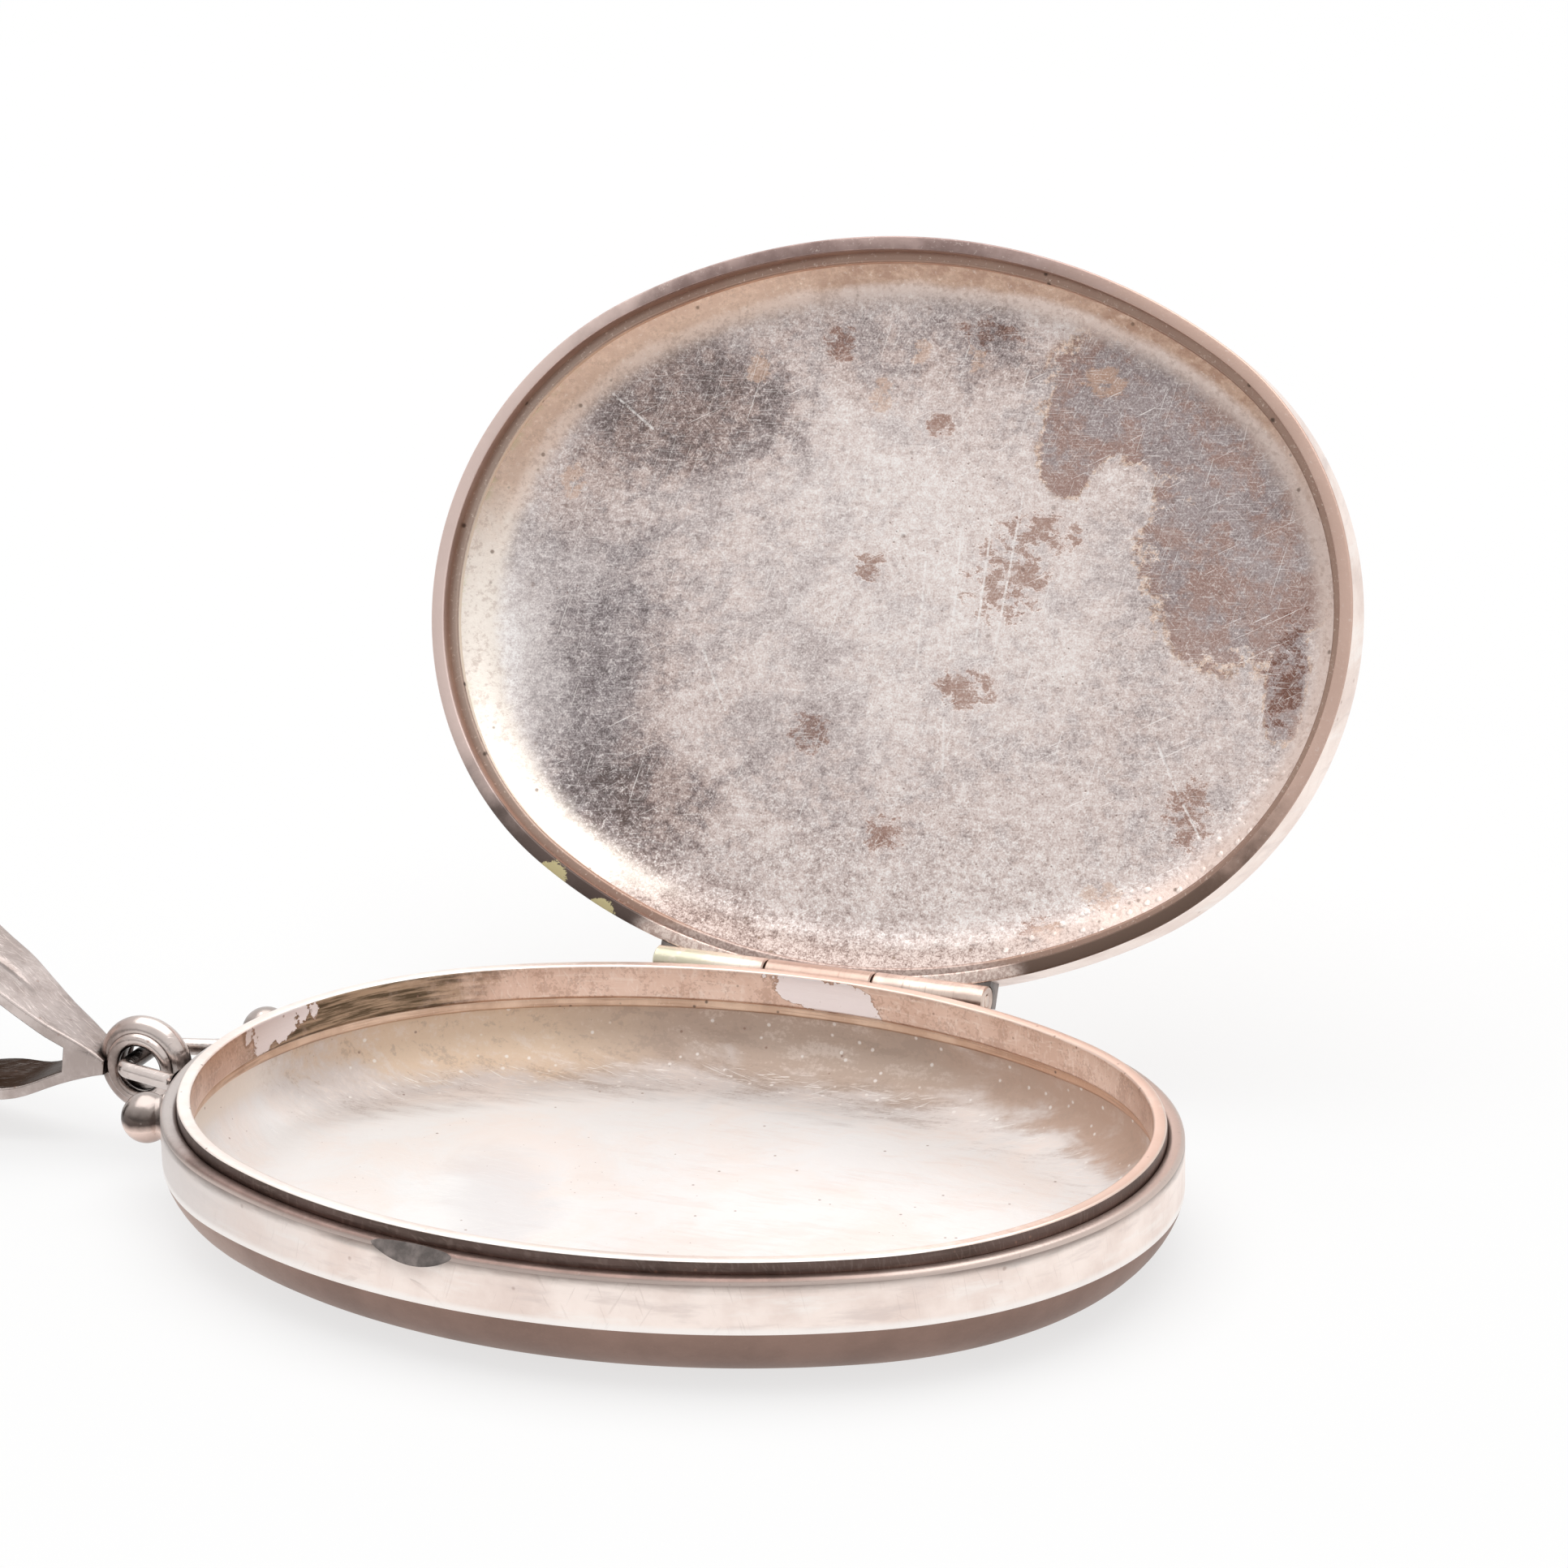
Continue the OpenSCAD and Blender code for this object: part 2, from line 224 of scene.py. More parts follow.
def softened(bm, edges, offset, segments):
    bmesh.ops.bevel(
        bm, geom=edges, offset=offset, offset_type="OFFSET", affect="EDGES", segments=segments, profile=0.5,
        material=-1, clamp_overlap=True)


def vertsOf(geom):
    return [g for g in geom if isinstance(g, bmesh.types.BMVert)]


def ends(edges):
    return list(dict.fromkeys(v for e in edges for v in e.verts))


def lineTo(bm, path, inset, z):
    path.append(bm.verts.new((endX + endRadius - inset, 0, z)))
    bm.edges.new(path[-2:])


def turnAbout(bm, path, inset, z, angle, steps):
    # carries the section's last point round a centre
    path += vertsOf(spun(bm, [path[-1]], (endX + endRadius - inset, 0, z), sideAxis, angle, steps))


def sweepOval(bm):
    # carries a section right round the case
    bmesh.ops.rotate(bm, cent=(endX, 0, 0), matrix=Matrix.Rotation(-joinTurn, 3, "Z"), verts=bm.verts)
    geom = bm.verts[:] + bm.edges[:]
    sides = math.pi - 2 * joinTurn
    for centre, angle, steps in (
            ((endX, 0, 0), 2 * joinTurn, caseShape["endSteps"]),
            ((0, -sideY, 0), sides, caseShape["sideSteps"]),
            ((-endX, 0, 0), 2 * joinTurn, caseShape["endSteps"]),
            ((0, sideY, 0), sides, caseShape["sideSteps"])):
        geom = spun(bm, geom, centre, upAxis, angle, steps)
    bmesh.ops.remove_doubles(bm, verts=bm.verts, dist=0.0005)


def fillFloor(bm, z, rings, step):
    # closes the opening at a height, then adds rings so that the sheet can be dented
    rim = [e for e in bm.edges if len(e.link_faces) == 1 and abs(e.verts[0].co.z - z) < 0.01]
    faces = bmesh.ops.edgeloop_fill(bm, edges=rim)["faces"]
    for _ in range(rings):
        bmesh.ops.inset_region(
            bm, faces=faces, use_boundary=True, use_even_offset=True, thickness=step, depth=0)


def bar(radius, x, length, segments=64):
    # round bar along the hinge
    bm = bmesh.new()
    place = Matrix.Translation(hingePoint + Vector((x + length / 2, 0, 0)))
    bmesh.ops.create_cone(
        bm, cap_ends=True, segments=segments, radius1=radius, radius2=radius, depth=length,
        matrix=place @ Matrix.Rotation(math.pi / 2, 4, "Y"))
    return bm


def asObject(name, bm, finishes=()):
    mesh = bpy.data.meshes.new(name)
    bm.to_mesh(mesh)
    bm.free()
    for finish in finishes:
        mesh.materials.append(finish)
    piece = bpy.data.objects.new(name, mesh)
    bpy.context.collection.objects.link(piece)
    return piece


def carve(bm, cutters, finishes, cutFinish):
    # takes the cutters out of a shape, and gives the cut faces their own finish
    bmesh.ops.recalc_face_normals(bm, faces=bm.faces)
    block = asObject("block", bm, finishes)
    tools = []
    for cutter in cutters:
        bmesh.ops.recalc_face_normals(cutter, faces=cutter.faces)
        for face in cutter.faces:
            face.material_index = cutFinish
        tools.append(asObject("cutter", cutter, finishes))
        cut = block.modifiers.new("cut", "BOOLEAN")
        cut.operation, cut.solver, cut.object = "DIFFERENCE", "EXACT", tools[-1]
    bpy.context.view_layer.update()
    carved = bmesh.new()
    carved.from_object(block, bpy.context.evaluated_depsgraph_get())
    for spare in [block] + tools:
        shape = spare.data
        bpy.data.objects.remove(spare)
        bpy.data.meshes.remove(shape)
    return carved


def settle(name, bm, body, node, finishes, crease=40):
    # metres, outward faces, smooth shading between sharp edges, its body and the node it stands for
    bmesh.ops.remove_doubles(bm, verts=bm.verts, dist=0.0005)
    bmesh.ops.recalc_face_normals(bm, faces=bm.faces)
    bmesh.ops.scale(bm, vec=(mm, mm, mm), verts=bm.verts)
    piece = asObject(name, bm, finishes)
    piece.data.shade_smooth()
    piece.data.set_sharp_from_angle(angle=math.radians(crease))
    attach(piece, body)
    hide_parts(node)
    print(name, "made:", len(piece.data.polygons), "faces")


# Finishes
stain = {"brown": tone(150, 118, 104), "dark": tone(92, 78, 72), "verdigris": tone(186, 190, 140)}


def outerSilver(name, base):
    # the case's outside: pale pinkish silver, softly streaked
    f = Finish(name)
    p, x, y, z, soft, fine = f.onCase((0.3, 5, 0.6), (6, 3, 0.6))
    streak = f.cloud(f.place((0.22, 0.22, 1.2), source=p), 1.0, 6, 0.62)
    f.body = f.mix(f.fade(soft, 0.36, 0.66), tone(253, 239, 231), tone(237, 219, 210))
    f.lay(f.fade(streak, 0.52, 0.7) * 0.6, tone(255, 249, 244))
    f.lay(f.fade(streak, 0.47, 0.3) * 0.5, tone(214, 198, 192))
    f.lay(f.dots(p, 1.1, 0.05, 0.13) * f.fade(soft, 0.5, 0.6) * 0.5, stain["brown"])
    scratch = f.scuffs(p, (0, 35, 12), 2.0, 0.05, 0.66, 0.72)
    scratch = scratch + f.scuffs(p, (0, -20, -30), 1.6, 0.04, 0.67, 0.73)
    f.lay(scratch.least(1.0) * 0.25, tone(206, 190, 182))
    if base:
        # painted light: greyer towards the bail, a painted reflection of darker surroundings; painted shade
        # at the shoulder under the lip; a painted highlight along its lower edge
        f.lay(f.fade(x + soft.sway(10), -4, -17) * 0.85, tone(217, 210, 207))
        f.lay(f.fade(z + streak.sway(0.7), 3.9, 4.4) * 0.85, tone(122, 106, 99))
        f.lay(f.fade(z, 2.75, 2.5) * 0.7, tone(254, 250, 247))
    return f.done(0.26 + 0.14 * fine + 0.08 * streak, fine * 0.15 + soft + scratch * 0.3, 0.25, 0.0001)


def footShadeSilver():
    # the underside: evenly brown, painted shade of the shadowed floor under it, paler towards the bail where
    # less shade is painted
    f = Finish("foot silver painted shade")
    p, x, y, z, soft, fine = f.onCase((0.3, 5, 0.6), (7, 3, 0.6))
    f.body = f.mix(f.fade(soft, 0.34, 0.66), tone(152, 126, 115), tone(138, 114, 104))
    f.lay(f.fade(x + soft.sway(6), -7, -17) * 0.6, tone(196, 174, 164))
    f.lay(f.fade(fine, 0.58, 0.74) * 0.3, tone(164, 138, 127))
    return f.done(0.42 + 0.14 * fine, fine * 0.2 + soft, 0.25, 0.00008)


def ledgeShadeSilver():
    # ledge and shoulder round the lower half: painted shade, dark under the lip, paler below the shoulder and
    # at both ends
    f = Finish("ledge silver painted shade")
    p, x, y, z, soft, fine = f.onCase((0.5, 5, 0.6), (7, 3, 0.6))
    f.body = f.mix(f.fade(soft, 0.32, 0.68), tone(150, 125, 117), tone(120, 101, 94))
    f.lay(f.fade(z, 4.47, 4.36) * 0.85, tone(206, 189, 181))
    f.lay(f.fade(x + soft.sway(6), 10, 17) * 0.85, tone(208, 190, 181))
    f.lay(f.fade(x + soft.sway(4), -14.5, -18) * 0.85, tone(204, 196, 192))
    f.lay(f.fade(fine, 0.6, 0.75) * 0.4, tone(160, 146, 140))
    return f.done(0.3 + 0.16 * fine, fine * 0.3 + soft, 0.3, 0.00006)


def notchSilver():
    # blackened scoop and hinge seats
    f = Finish("notch silver")
    p, x, y, z, soft, fine = f.onCase((1.2, 4, 0.6), (9, 3, 0.6))
    f.body = f.mix(f.fade(soft, 0.35, 0.65), tone(108, 101, 98), tone(146, 136, 132))
    return f.done(0.3 + 0.2 * fine, fine * 0.4 + soft, 0.3, 0.00008)


def nearHinge(f, x, up):
    # 1 beside the knuckles, where the rim is worn pale
    return f.fade(x * x, 78, 62) * f.fade(up, 1.9, 1.2)


def rimSilver():
    # the lid's rim: brown, nearly black towards the hinge, nicked bright
    f = Finish("rim silver")
    local, x, up, depth, soft, fine = f.onLid((0.45, 6, 0.62), (6, 4, 0.7))
    f.body = f.mix(f.fade(soft, 0.36, 0.64), tone(182, 158, 152), tone(146, 124, 119))
    f.lay(f.fade(x + soft.sway(12), 2, 12) * 0.85, tone(212, 181, 166))
    f.lay(f.fade(x + soft.sway(8), -9, -16) * 0.85, tone(230, 208, 200))
    low = f.fade(up + soft.sway(8) - x * 0.05, 10, 4.5)
    f.lay(low * 0.92, f.mix(f.fade(x, 2, 8), tone(84, 72, 67), tone(96, 78, 68)))
    nicks = f.fade(fine, 0.58, 0.72) * f.fade(up, 4, 12)
    f.lay(nicks * 0.6, tone(224, 208, 200))
    crust = f.patch(x, up, (-12.6, 2.9), (1.0, 0.8)).most(f.patch(x, up, (-10.2, 1.7), (0.9, 0.7)))
    crust = f.fade(crust + fine.sway(1.6), 0.35, 0.5) * f.fade(crust, 0.0, 0.2)
    f.lay(crust, tone(208, 196, 150))
    f.lay(nearHinge(f, x, up), f.mix(f.fade(fine, 0.4, 0.6), tone(196, 172, 162), tone(236, 218, 208)))
    return f.done(0.3 + 0.18 * fine + crust * 0.3, fine * 0.4 + soft + crust, 0.3, 0.00006, 1.0 - crust * 0.7)


def wellSilver():
    # bottom of the lower half: frosted bright floor, streaked grey and tan where it curves up to the wall
    f = Finish("well silver")
    p, x, y, z, soft, fine = f.onCase((0.2, 5, 0.6, 0.5), (6, 4, 0.65))
    streak = f.cloud(f.place((0.3, 1.3, 1.0), (0, 0, -8), source=p), 1.0, 9, 0.68, 0.3)
    inset = sideRadius - (x * x + (y + sideY) * (y + sideY)) ** 0.5
    back = f.fade(y, 1, 5)
    f.body = f.mix(f.fade(soft, 0.4, 0.66), tone(255, 254, 253), tone(254, 246, 241))
    f.lay(f.fade(streak, 0.5, 0.64) * f.fade(x, -9, 0) * 0.35, tone(244, 231, 224))
    # painted reflection of the open lid: a grey patch on the floor's left
    lidReflection = f.patch(x + (y + 2) * 0.3 + soft.sway(6), y + streak.sway(5), (-6.5, -1.5), (3.2, 6.5))
    f.lay(lidReflection * 0.45, tone(222, 219, 221))
    # grey, then tan up the curve at the back, both streaked
    curve = f.fade(inset + soft.sway(3), 5.4, 2.8) * back
    clear = f.fade(x, 1, 11)    # the bare floor runs further up the curve away from the bail
    grey = f.fade(inset + streak.sway(5) + soft.sway(4) + clear * 2, 5.8, 2.4) * back
    f.lay(grey * 0.6, tone(200, 187, 181))
    tan = f.mix(f.fade(x + soft.sway(10), -13, -4), tone(232, 206, 178), tone(194, 170, 152))
    tan = f.mix(f.fade(x + soft.sway(10), 3, 14), tan, tone(206, 172, 150))
    f.lay(f.fade(inset + soft.sway(4) + streak.sway(3) + clear * 0.7, 2.9, 1.3) * back * 0.85, tan)
    f.lay(f.fade(streak + fine.sway(0.4), 0.52, 0.66) * curve * (0.45 - 0.3 * clear), tone(240, 227, 218))
    f.lay(f.fade(streak + fine.sway(0.4), 0.47, 0.36) * curve * (0.35 - 0.2 * clear), tone(168, 148, 136))
    f.lay(f.fade(z, 1.6, 2.2) * (1.0 - back), tone(254, 244, 234))
    flecks = f.scuffs(p, (0, 0, -8), 0.7, 0.07, 0.62, 0.7) * f.fade(inset, 5.0, 3.0) * f.fade(z, 1.1, 0.8)
    flecks = flecks + f.dots(p, 1.5, 0.07, 0.16) * f.fade(inset, 5.5, 3.5) * back
    f.lay(flecks.least(1.0) * 0.7, tone(255, 250, 246))
    specks = f.dots(p, 0.9, 0.03, 0.07) + f.dots(p, 2.3, 0.03, 0.09) * f.fade(soft, 0.5, 0.62)
    f.lay(specks.least(1.0) * 0.7, stain["brown"])
    scratch = f.scuffs(p, (0, 0, 12), 2.2, 0.05, 0.66, 0.72) + f.scuffs(p, (0, 0, -38), 1.8, 0.05, 0.67, 0.73)
    f.lay(scratch.least(1.0) * f.fade(z, 1.1, 0.8) * 0.5, tone(255, 254, 252))
    worn = f.fade(inset, 4.6, 2.6)
    height = soft * 2 + fine * 0.1 + scratch * 0.3
    return f.done(worn * 0.2 + 0.3 + 0.14 * soft, height, 0.2, 0.00016, worn * 0.25 + 0.2)


# places are millimetres across the lid and up from the hinge
lidMarks = {
    # lighter and darker patches; the bright one by the left cove at (-17.2, 9.5) is a painted reflection
    "shades": (
        ((0.5, 16), (11, 9), 0.1), ((-4, 22), (7, 4), 0.06), ((6, 3.5), (13, 5), 0.06),
        ((-17.2, 9.5), (3.4, 7.5), 0.3), ((-13.2, 11.5), (4.8, 9.5), -0.2), ((-10, 6), (4.8, 4.2), -0.24),
        ((-10.5, 23), (6.5, 4.2), -0.34), ((-1, 26.6), (8, 2.4), -0.1), ((1, 8.2), (9, 2.8), -0.02),
        ((-14.8, 20.5), (2.6, 4), -0.08), ((3.5, 26.8), (3.5, 2), -0.1)),
    "tarnish": (
        ((10, 25.2), (6.4, 4.2)), ((6.6, 23.3), (2.1, 2.7)), ((14.4, 20.2), (5.8, 6.6)),
        ((16.9, 14.2), (1.1, 3.4))),
    "pocket": ((8.6, 21.2), (1.9, 2.6)),
    "stains": (
        ((4.4, 17.4), (2.6, 3)), ((5.6, 19.4), (2.6, 1.3)), ((3.1, 12.7), (2.1, 1.6)),
        ((-3.1, 10.3), (1.4, 1.3)), ((-1.6, 17.3), (1.1, 1.1)), ((0.5, 23.5), (1, 0.8)),
        ((13.6, 8.5), (1.5, 2.2)), ((8.3, 3.3), (1.6, 1)), ((0.6, 6.4), (1.6, 1.2)),
        ((16.9, 14.6), (1.3, 3.6)), ((-4.3, 26.6), (1.4, 1.2)), ((2.4, 27.4), (2.4, 1))),
    "rust": (
        ((-0.8, 26.6), (0.6, 0.9)), ((1.6, 26.4), (0.6, 0.8)), ((7.4, 25.9), (1.3, 1)),
        ((-7.8, 25.2), (0.7, 1)), ((-2.2, 24.6), (0.7, 1)), ((10.4, 4.9), (1.3, 0.8)),
        ((8.5, 3.3), (1, 0.7)), ((-15.5, 19.8), (0.8, 1))),
    "cuts": (
        ((0.82, 17.8), (1.1, 13.4)), ((2.15, 19.3), (2.5, 13.9)), ((3.43, 19.7), (3.5, 14.2)),
        ((4.6, 21), (4.35, 13.9)), ((2.6, 11.5), (2.9, 9.4)), ((11.8, 11.4), (13, 9.4)),
        ((13.3, 9), (14.2, 7.7)), ((-14.2, 23.6), (-12.2, 22.3)), ((-8.4, 13.2), (-7, 10.8))),
}


def lidSilver():
    # the lid's inside: aged silver, softly shaded, peeled, stained, scratched, and coarse towards the hinge
    f = Finish("lid silver")
    local, x, up, depth, big, jag, fine, grain = f.onLid(
        (0.17, 8, 0.58, 0.4), (0.55, 12, 0.68, 0.3), (4.5, 6, 0.75), (12, 3, 0.7))
    mottle = f.cloud(f.place((1.3, 1.9, 1.6), (0, 0, 8), source=local), 1.0, 10, 0.7, 0.2)
    brushed = f.cloud(f.place((0.9, 7.0, 1.0), (0, 0, 5), source=local), 1.0, 5, 0.65)
    low = f.fade(up + jag.sway(12), 9.5, 3.5)
    # light and dark areas, among them a painted reflection by the left cove, then finer texture
    shade = 0.59 + big.sway(0.5) + jag.sway(0.4) + mottle.sway(0.5)
    shade = shade + fine.sway(0.95 + 0.5 * low) + grain.sway(0.85) + brushed.sway(0.18)
    for centre, size, amount in lidMarks["shades"]:
        shade = shade + f.patch(x + jag.sway(6), up + big.sway(8), centre, size) * amount
    grey = f.ramp(shade, (
        (0.12, tone(106, 97, 96)), (0.32, tone(152, 143, 144)), (0.48, tone(188, 179, 179)),
        (0.62, tone(212, 203, 202)), (0.78, tone(234, 226, 224)), (0.95, tone(254, 250, 248))))
    pink = f.ramp(shade, (
        (0.12, tone(112, 95, 90)), (0.32, tone(160, 140, 134)), (0.48, tone(201, 181, 174)),
        (0.62, tone(224, 207, 201)), (0.78, tone(242, 230, 225)), (0.95, tone(255, 250, 247))))
    warm = f.fade(jag + big.sway(0.8) + mottle.sway(0.6), 0.4, 0.6) * 0.55 + 0.45
    warm = warm * (1.0 - f.fade(x + big.sway(10), -9, -13) * f.fade(up, 20, 16) * 0.8)
    f.body = f.mix(warm.most(low * 0.85), grey, pink)
    # tarnish that stops at a crisp, broken edge
    field = f.patch(x, up, *lidMarks["tarnish"][0])
    for spot in lidMarks["tarnish"][1:]:
        field = field.most(f.patch(x, up, *spot))
    zone = f.fade(field, 0.0, 0.15)
    field = field - f.patch(x, up, *lidMarks["pocket"]) * 0.8 + jag.sway(2.2)
    field = field + big.sway(0.6) + mottle.sway(1.5) + fine.sway(0.4)
    film = f.fade(field, 0.34, 0.39) * zone
    tint = f.mix(f.fade(jag + mottle.sway(0.6), 0.42, 0.58), tone(184, 178, 182), tone(190, 170, 164))
    cover = 0.8 + mottle.sway(1.6) + jag.sway(1.4) + fine.sway(1.2)
    f.lay(film * cover.least(1.0).most(0.2), tint, "MULTIPLY")
    # the film's broken edge, drawn as a thin line of tan and dark brown: a real edge with a painted highlight
    # and painted shadow along it
    peelEdgeLightAndShade = f.fade(field, 0.16, 0.26) * f.fade(field, 0.44, 0.37) * f.fade(mottle + fine.sway(0.6), 0.4, 0.5)
    f.lay(peelEdgeLightAndShade * zone * 0.8, f.mix(f.fade(fine, 0.42, 0.58), tone(150, 118, 101), tone(232, 204, 184)))
    # brown blots and rusty flakes
    ragged = jag.sway(1.8) + mottle.sway(4.5) + fine.sway(1.6)
    blots = f.fade(jag + mottle.sway(0.6), 0.75, 0.79) * 0.5
    for spot in lidMarks["stains"]:
        spread = f.patch(x, up, *spot)
        blots = blots.most(f.fade(spread + ragged, 0.72, 1.0) * f.fade(spread, 0.0, 0.4))
    f.lay(blots * 0.85, tone(186, 158, 146), "MULTIPLY")
    rust = f.fade(mottle + fine.sway(0.5), 0.7, 0.78) * 0.25
    for spot in lidMarks["rust"]:
        spread = f.patch(x, up, *spot)
        rust = rust.most(f.fade(spread + ragged, 0.5, 0.8) * f.fade(spread, 0.0, 0.3))
    f.lay(rust * 0.45, tone(212, 174, 148))
    # painted sparkle on the grains, then bright flecks and scratches
    f.lay(f.fade(grain + fine.sway(0.9), 0.57, 0.68) * (0.35 + 0.4 * low), tone(255, 250, 247))
    flecks = f.scuffs(local, (0, 0, 4), 0.9, 0.045, 0.60, 0.72)
    for turn, length in ((64, 0.6), (-42, 0.7)):
        flecks = flecks + f.scuffs(local, (0, 0, turn), length, 0.04, 0.63, 0.74)
    f.lay(flecks.least(1.0) * 0.42, tone(253, 247, 244))
    cuts = f.scuffs(local, (0, 0, 80), 3.0, 0.05, 0.70, 0.75)
    cuts = cuts + f.scuffs(local, (0, 0, 30), 2.4, 0.05, 0.71, 0.76)
    for start, end in lidMarks["cuts"]:
        cuts = cuts + f.stroke(x + fine.sway(0.12), up, start, end, 0.075) * f.fade(fine, 0.34, 0.56)
    cuts = cuts.least(1.0)
    f.lay(cuts * 0.7, tone(254, 249, 246))
    pits = f.dots(local, 0.7, 0.04, 0.1) * 0.7 + f.dots(local, 2.2, 0.05, 0.13) * f.fade(big, 0.5, 0.58)
    pits = pits.least(1.0)
    f.lay(pits * 0.65, tone(128, 104, 95))
    # cove and wall round the lid's edge
    cove = f.fade(depth + mottle.sway(0.25), 2.55, 2.3)
    # paler on the left of the cove: painted reflection of the bright studio
    left = f.fade(x + (up - 12) * 0.6 + jag.sway(6), -5, -13)
    top = f.fade(up - x * 0.15 + jag.sway(6), 17, 24)
    wander = depth + big.sway(0.5) + fine.sway(0.15)
    band = f.fade(wander, 2.3, 2.1) * f.fade(wander, 1.5, 1.65)
    side = f.mix(left, tone(226, 205, 195), tone(244, 234, 224))
    crown = f.mix(f.fade(mottle, 0.38, 0.6), tone(212, 180, 158), tone(180, 146, 126))
    crown = f.mix(band, tone(232, 212, 202), crown)
    crown = f.mix(f.fade(x, -3, -9) * 0.5, crown, tone(240, 208, 186))
    edge = f.mix(top, side, crown)
    edge = f.mix(f.fade(fine + mottle.sway(0.8), 0.5, 0.34) * 0.35, edge, tone(164, 136, 122))
    edge = f.mix(f.fade(fine, 0.55, 0.7) * 0.35, edge, tone(255, 247, 240))
    bottom = f.fade(up + jag.sway(4), 4.6, 2.0) * f.fade(x + jag.sway(8), -15, -9)
    edge = f.mix(bottom, edge, f.ramp(shade + grain.sway(0.8), (
        (0.2, tone(98, 82, 76)), (0.5, tone(148, 130, 123)), (0.8, tone(188, 173, 166)))))
    f.lay(cove * 0.92, edge)
    green = f.fade(mottle + jag.sway(0.6), 0.5, 0.6) * f.fade(depth, 1.9, 1.5) * f.fade(x, -14, -18)
    f.lay(green * 0.6, stain["verdigris"])
    f.lay(f.dots(local, 1.0, 0.05, 0.12) * cove * 0.7, tone(110, 90, 76))
    lower = f.fade(depth, 0.85, 0.6) * (1.0 - nearHinge(f, x, up))
    f.lay(lower * 0.9, f.mix(f.fade(big, 0.35, 0.65), tone(206, 178, 165), tone(180, 152, 140)))
    # coarse beads along the floor's lower right edge
    beads = f.dots(local, 2.0, 0.12, 0.34) * f.fade(depth, 2.57, 2.45) * f.fade(depth, 1.6, 1.9)
    beads = beads * f.fade(x, 3, 8) * f.fade(up, 13.5, 11.5)
    f.lay(beads * 0.4, tone(250, 238, 231))
    height = big * 0.5 + jag * 0.6 + mottle * 0.4 + fine * (0.1 + 0.3 * low) + grain * (0.03 + 0.1 * low)
    height = height - pits * 0.3 - cuts * 0.15 + film * 0.25 - blots * 0.2 + beads * 0.5
    return f.done(0.28 + 0.16 * fine, height, 0.35, 0.0001)


def lidWireSilver():
    # bearer wire in the lid: tan inside, brown where it faces the rim
    f = Finish("lid wire silver")
    local, x, up, depth, soft, fine = f.onLid((0.5, 5, 0.6), (8, 3, 0.65))
    f.body = f.mix(f.fade(soft, 0.35, 0.65), tone(230, 200, 178), tone(206, 170, 150))
    f.lay(f.fade(x, -10, -17), tone(250, 240, 226))
    f.lay(f.fade(depth + soft.sway(0.1), 0.78, 0.7) * 0.85, tone(150, 123, 111))
    f.lay(f.dots(local, 1.0, 0.05, 0.14) * 0.8, tone(70, 58, 50))
    f.lay(f.fade(fine, 0.58, 0.74) * 0.5, tone(246, 230, 216))
    f.lay(nearHinge(f, x, up), f.mix(f.fade(fine, 0.4, 0.6), tone(160, 138, 130), tone(196, 176, 167)))
    return f.done(0.3 + 0.16 * fine, soft + fine * 0.3, 0.3, 0.00005)


def lipSilver(name, first, second, bright, part):
    f = Finish(name)
    p, x, y, z, soft, jag, fine = f.onCase((0.3, 5, 0.6), (0.9, 9, 0.66), (8, 3, 0.6))
    streak = f.cloud(f.place((0.35, 0.35, 5.0), source=p), 1.0, 6, 0.65)
    brush = f.scuffs(p, (0, 0, 0), 0.5, 0.06, 0.56, 0.7) + f.scuffs(p, (0, 50, 30), 0.5, 0.06, 0.58, 0.72)
    f.body = f.mix(f.fade(soft, 0.32, 0.68), first, second)
    f.lay(f.fade(streak, 0.55, 0.72) * 0.5, bright)
    f.lay(brush.least(1.0) * 0.35, bright)
    if part == "top":
        # tan on the far side and away from the bail
        far = f.fade(y + x * 0.35 + jag.sway(8), 6, 14).most(f.fade(x + jag.sway(8), 14, 18))
        f.lay(far * 0.7, tone(216, 184, 166))
    if part == "inner":
        # blackened stretch, fine mottling, and two places where the tarnish has come away
        far = f.fade(y, 0, 3)
        edge = jag.sway(6)
        f.lay(f.fade(jag + fine.sway(0.7), 0.5, 0.38) * 0.45, tone(176, 140, 122))
        black = f.fade(x + edge, -20.4, -18.4) * f.fade(x + edge, -11.5, -15.5) * far
        f.lay(black, f.mix(f.fade(streak, 0.4, 0.62), tone(90, 76, 60), tone(176, 150, 126)))
        spot = f.patch(x, z, (-19.4, 4.5), (2.2, 1.2))
        spot = spot.most(f.patch(x + (z - 4.4) * 1.2, z, (0.5, 4.3), (2.9, 1.1)))
        bare = (spot + jag.sway(3.2)) * far * f.fade(spot, 0.0, 0.25)
        f.lay(f.fade(bare, 0.24, 0.32) * 0.6, tone(150, 116, 96))
        f.lay(f.fade(bare, 0.36, 0.42), tone(240, 230, 229))
    f.lay(f.dots(p, 1.3, 0.04, 0.1) * 0.6, stain["brown"])
    return f.done(0.24 + 0.14 * fine + 0.08 * soft, streak + fine * 0.15, 0.25, 0.00006)


def hingeSilver():
    # knuckles: cream, green by the bail end, browner in the middle
    f = Finish("hinge silver")
    p, x, y, z, soft, fine = f.onCase((0.7, 5, 0.6), (9, 3, 0.6))
    rings = f.cloud(f.place((5.0, 0.4, 0.4), source=p), 1.0, 4, 0.65)
    f.body = f.mix(f.fade(soft, 0.35, 0.65), tone(226, 206, 193), tone(200, 178, 167))
    f.lay(f.fade(x * x, 7.2, 4.0) * 0.7, tone(178, 149, 135))
    f.lay(f.fade(rings, 0.54, 0.68) * 0.6, tone(146, 122, 111))
    f.lay(f.fade(x, -2.6, -3.6) * 0.7, tone(244, 234, 218))
    green = f.fade(soft + fine * 0.2, 0.52, 0.66) * f.fade(x, -3.5, -6)
    f.lay(green * 0.5, tone(214, 214, 176))
    return f.done(0.26 + 0.16 * fine, rings + fine * 0.3, 0.25, 0.00005, 1.0 - green * 0.5)


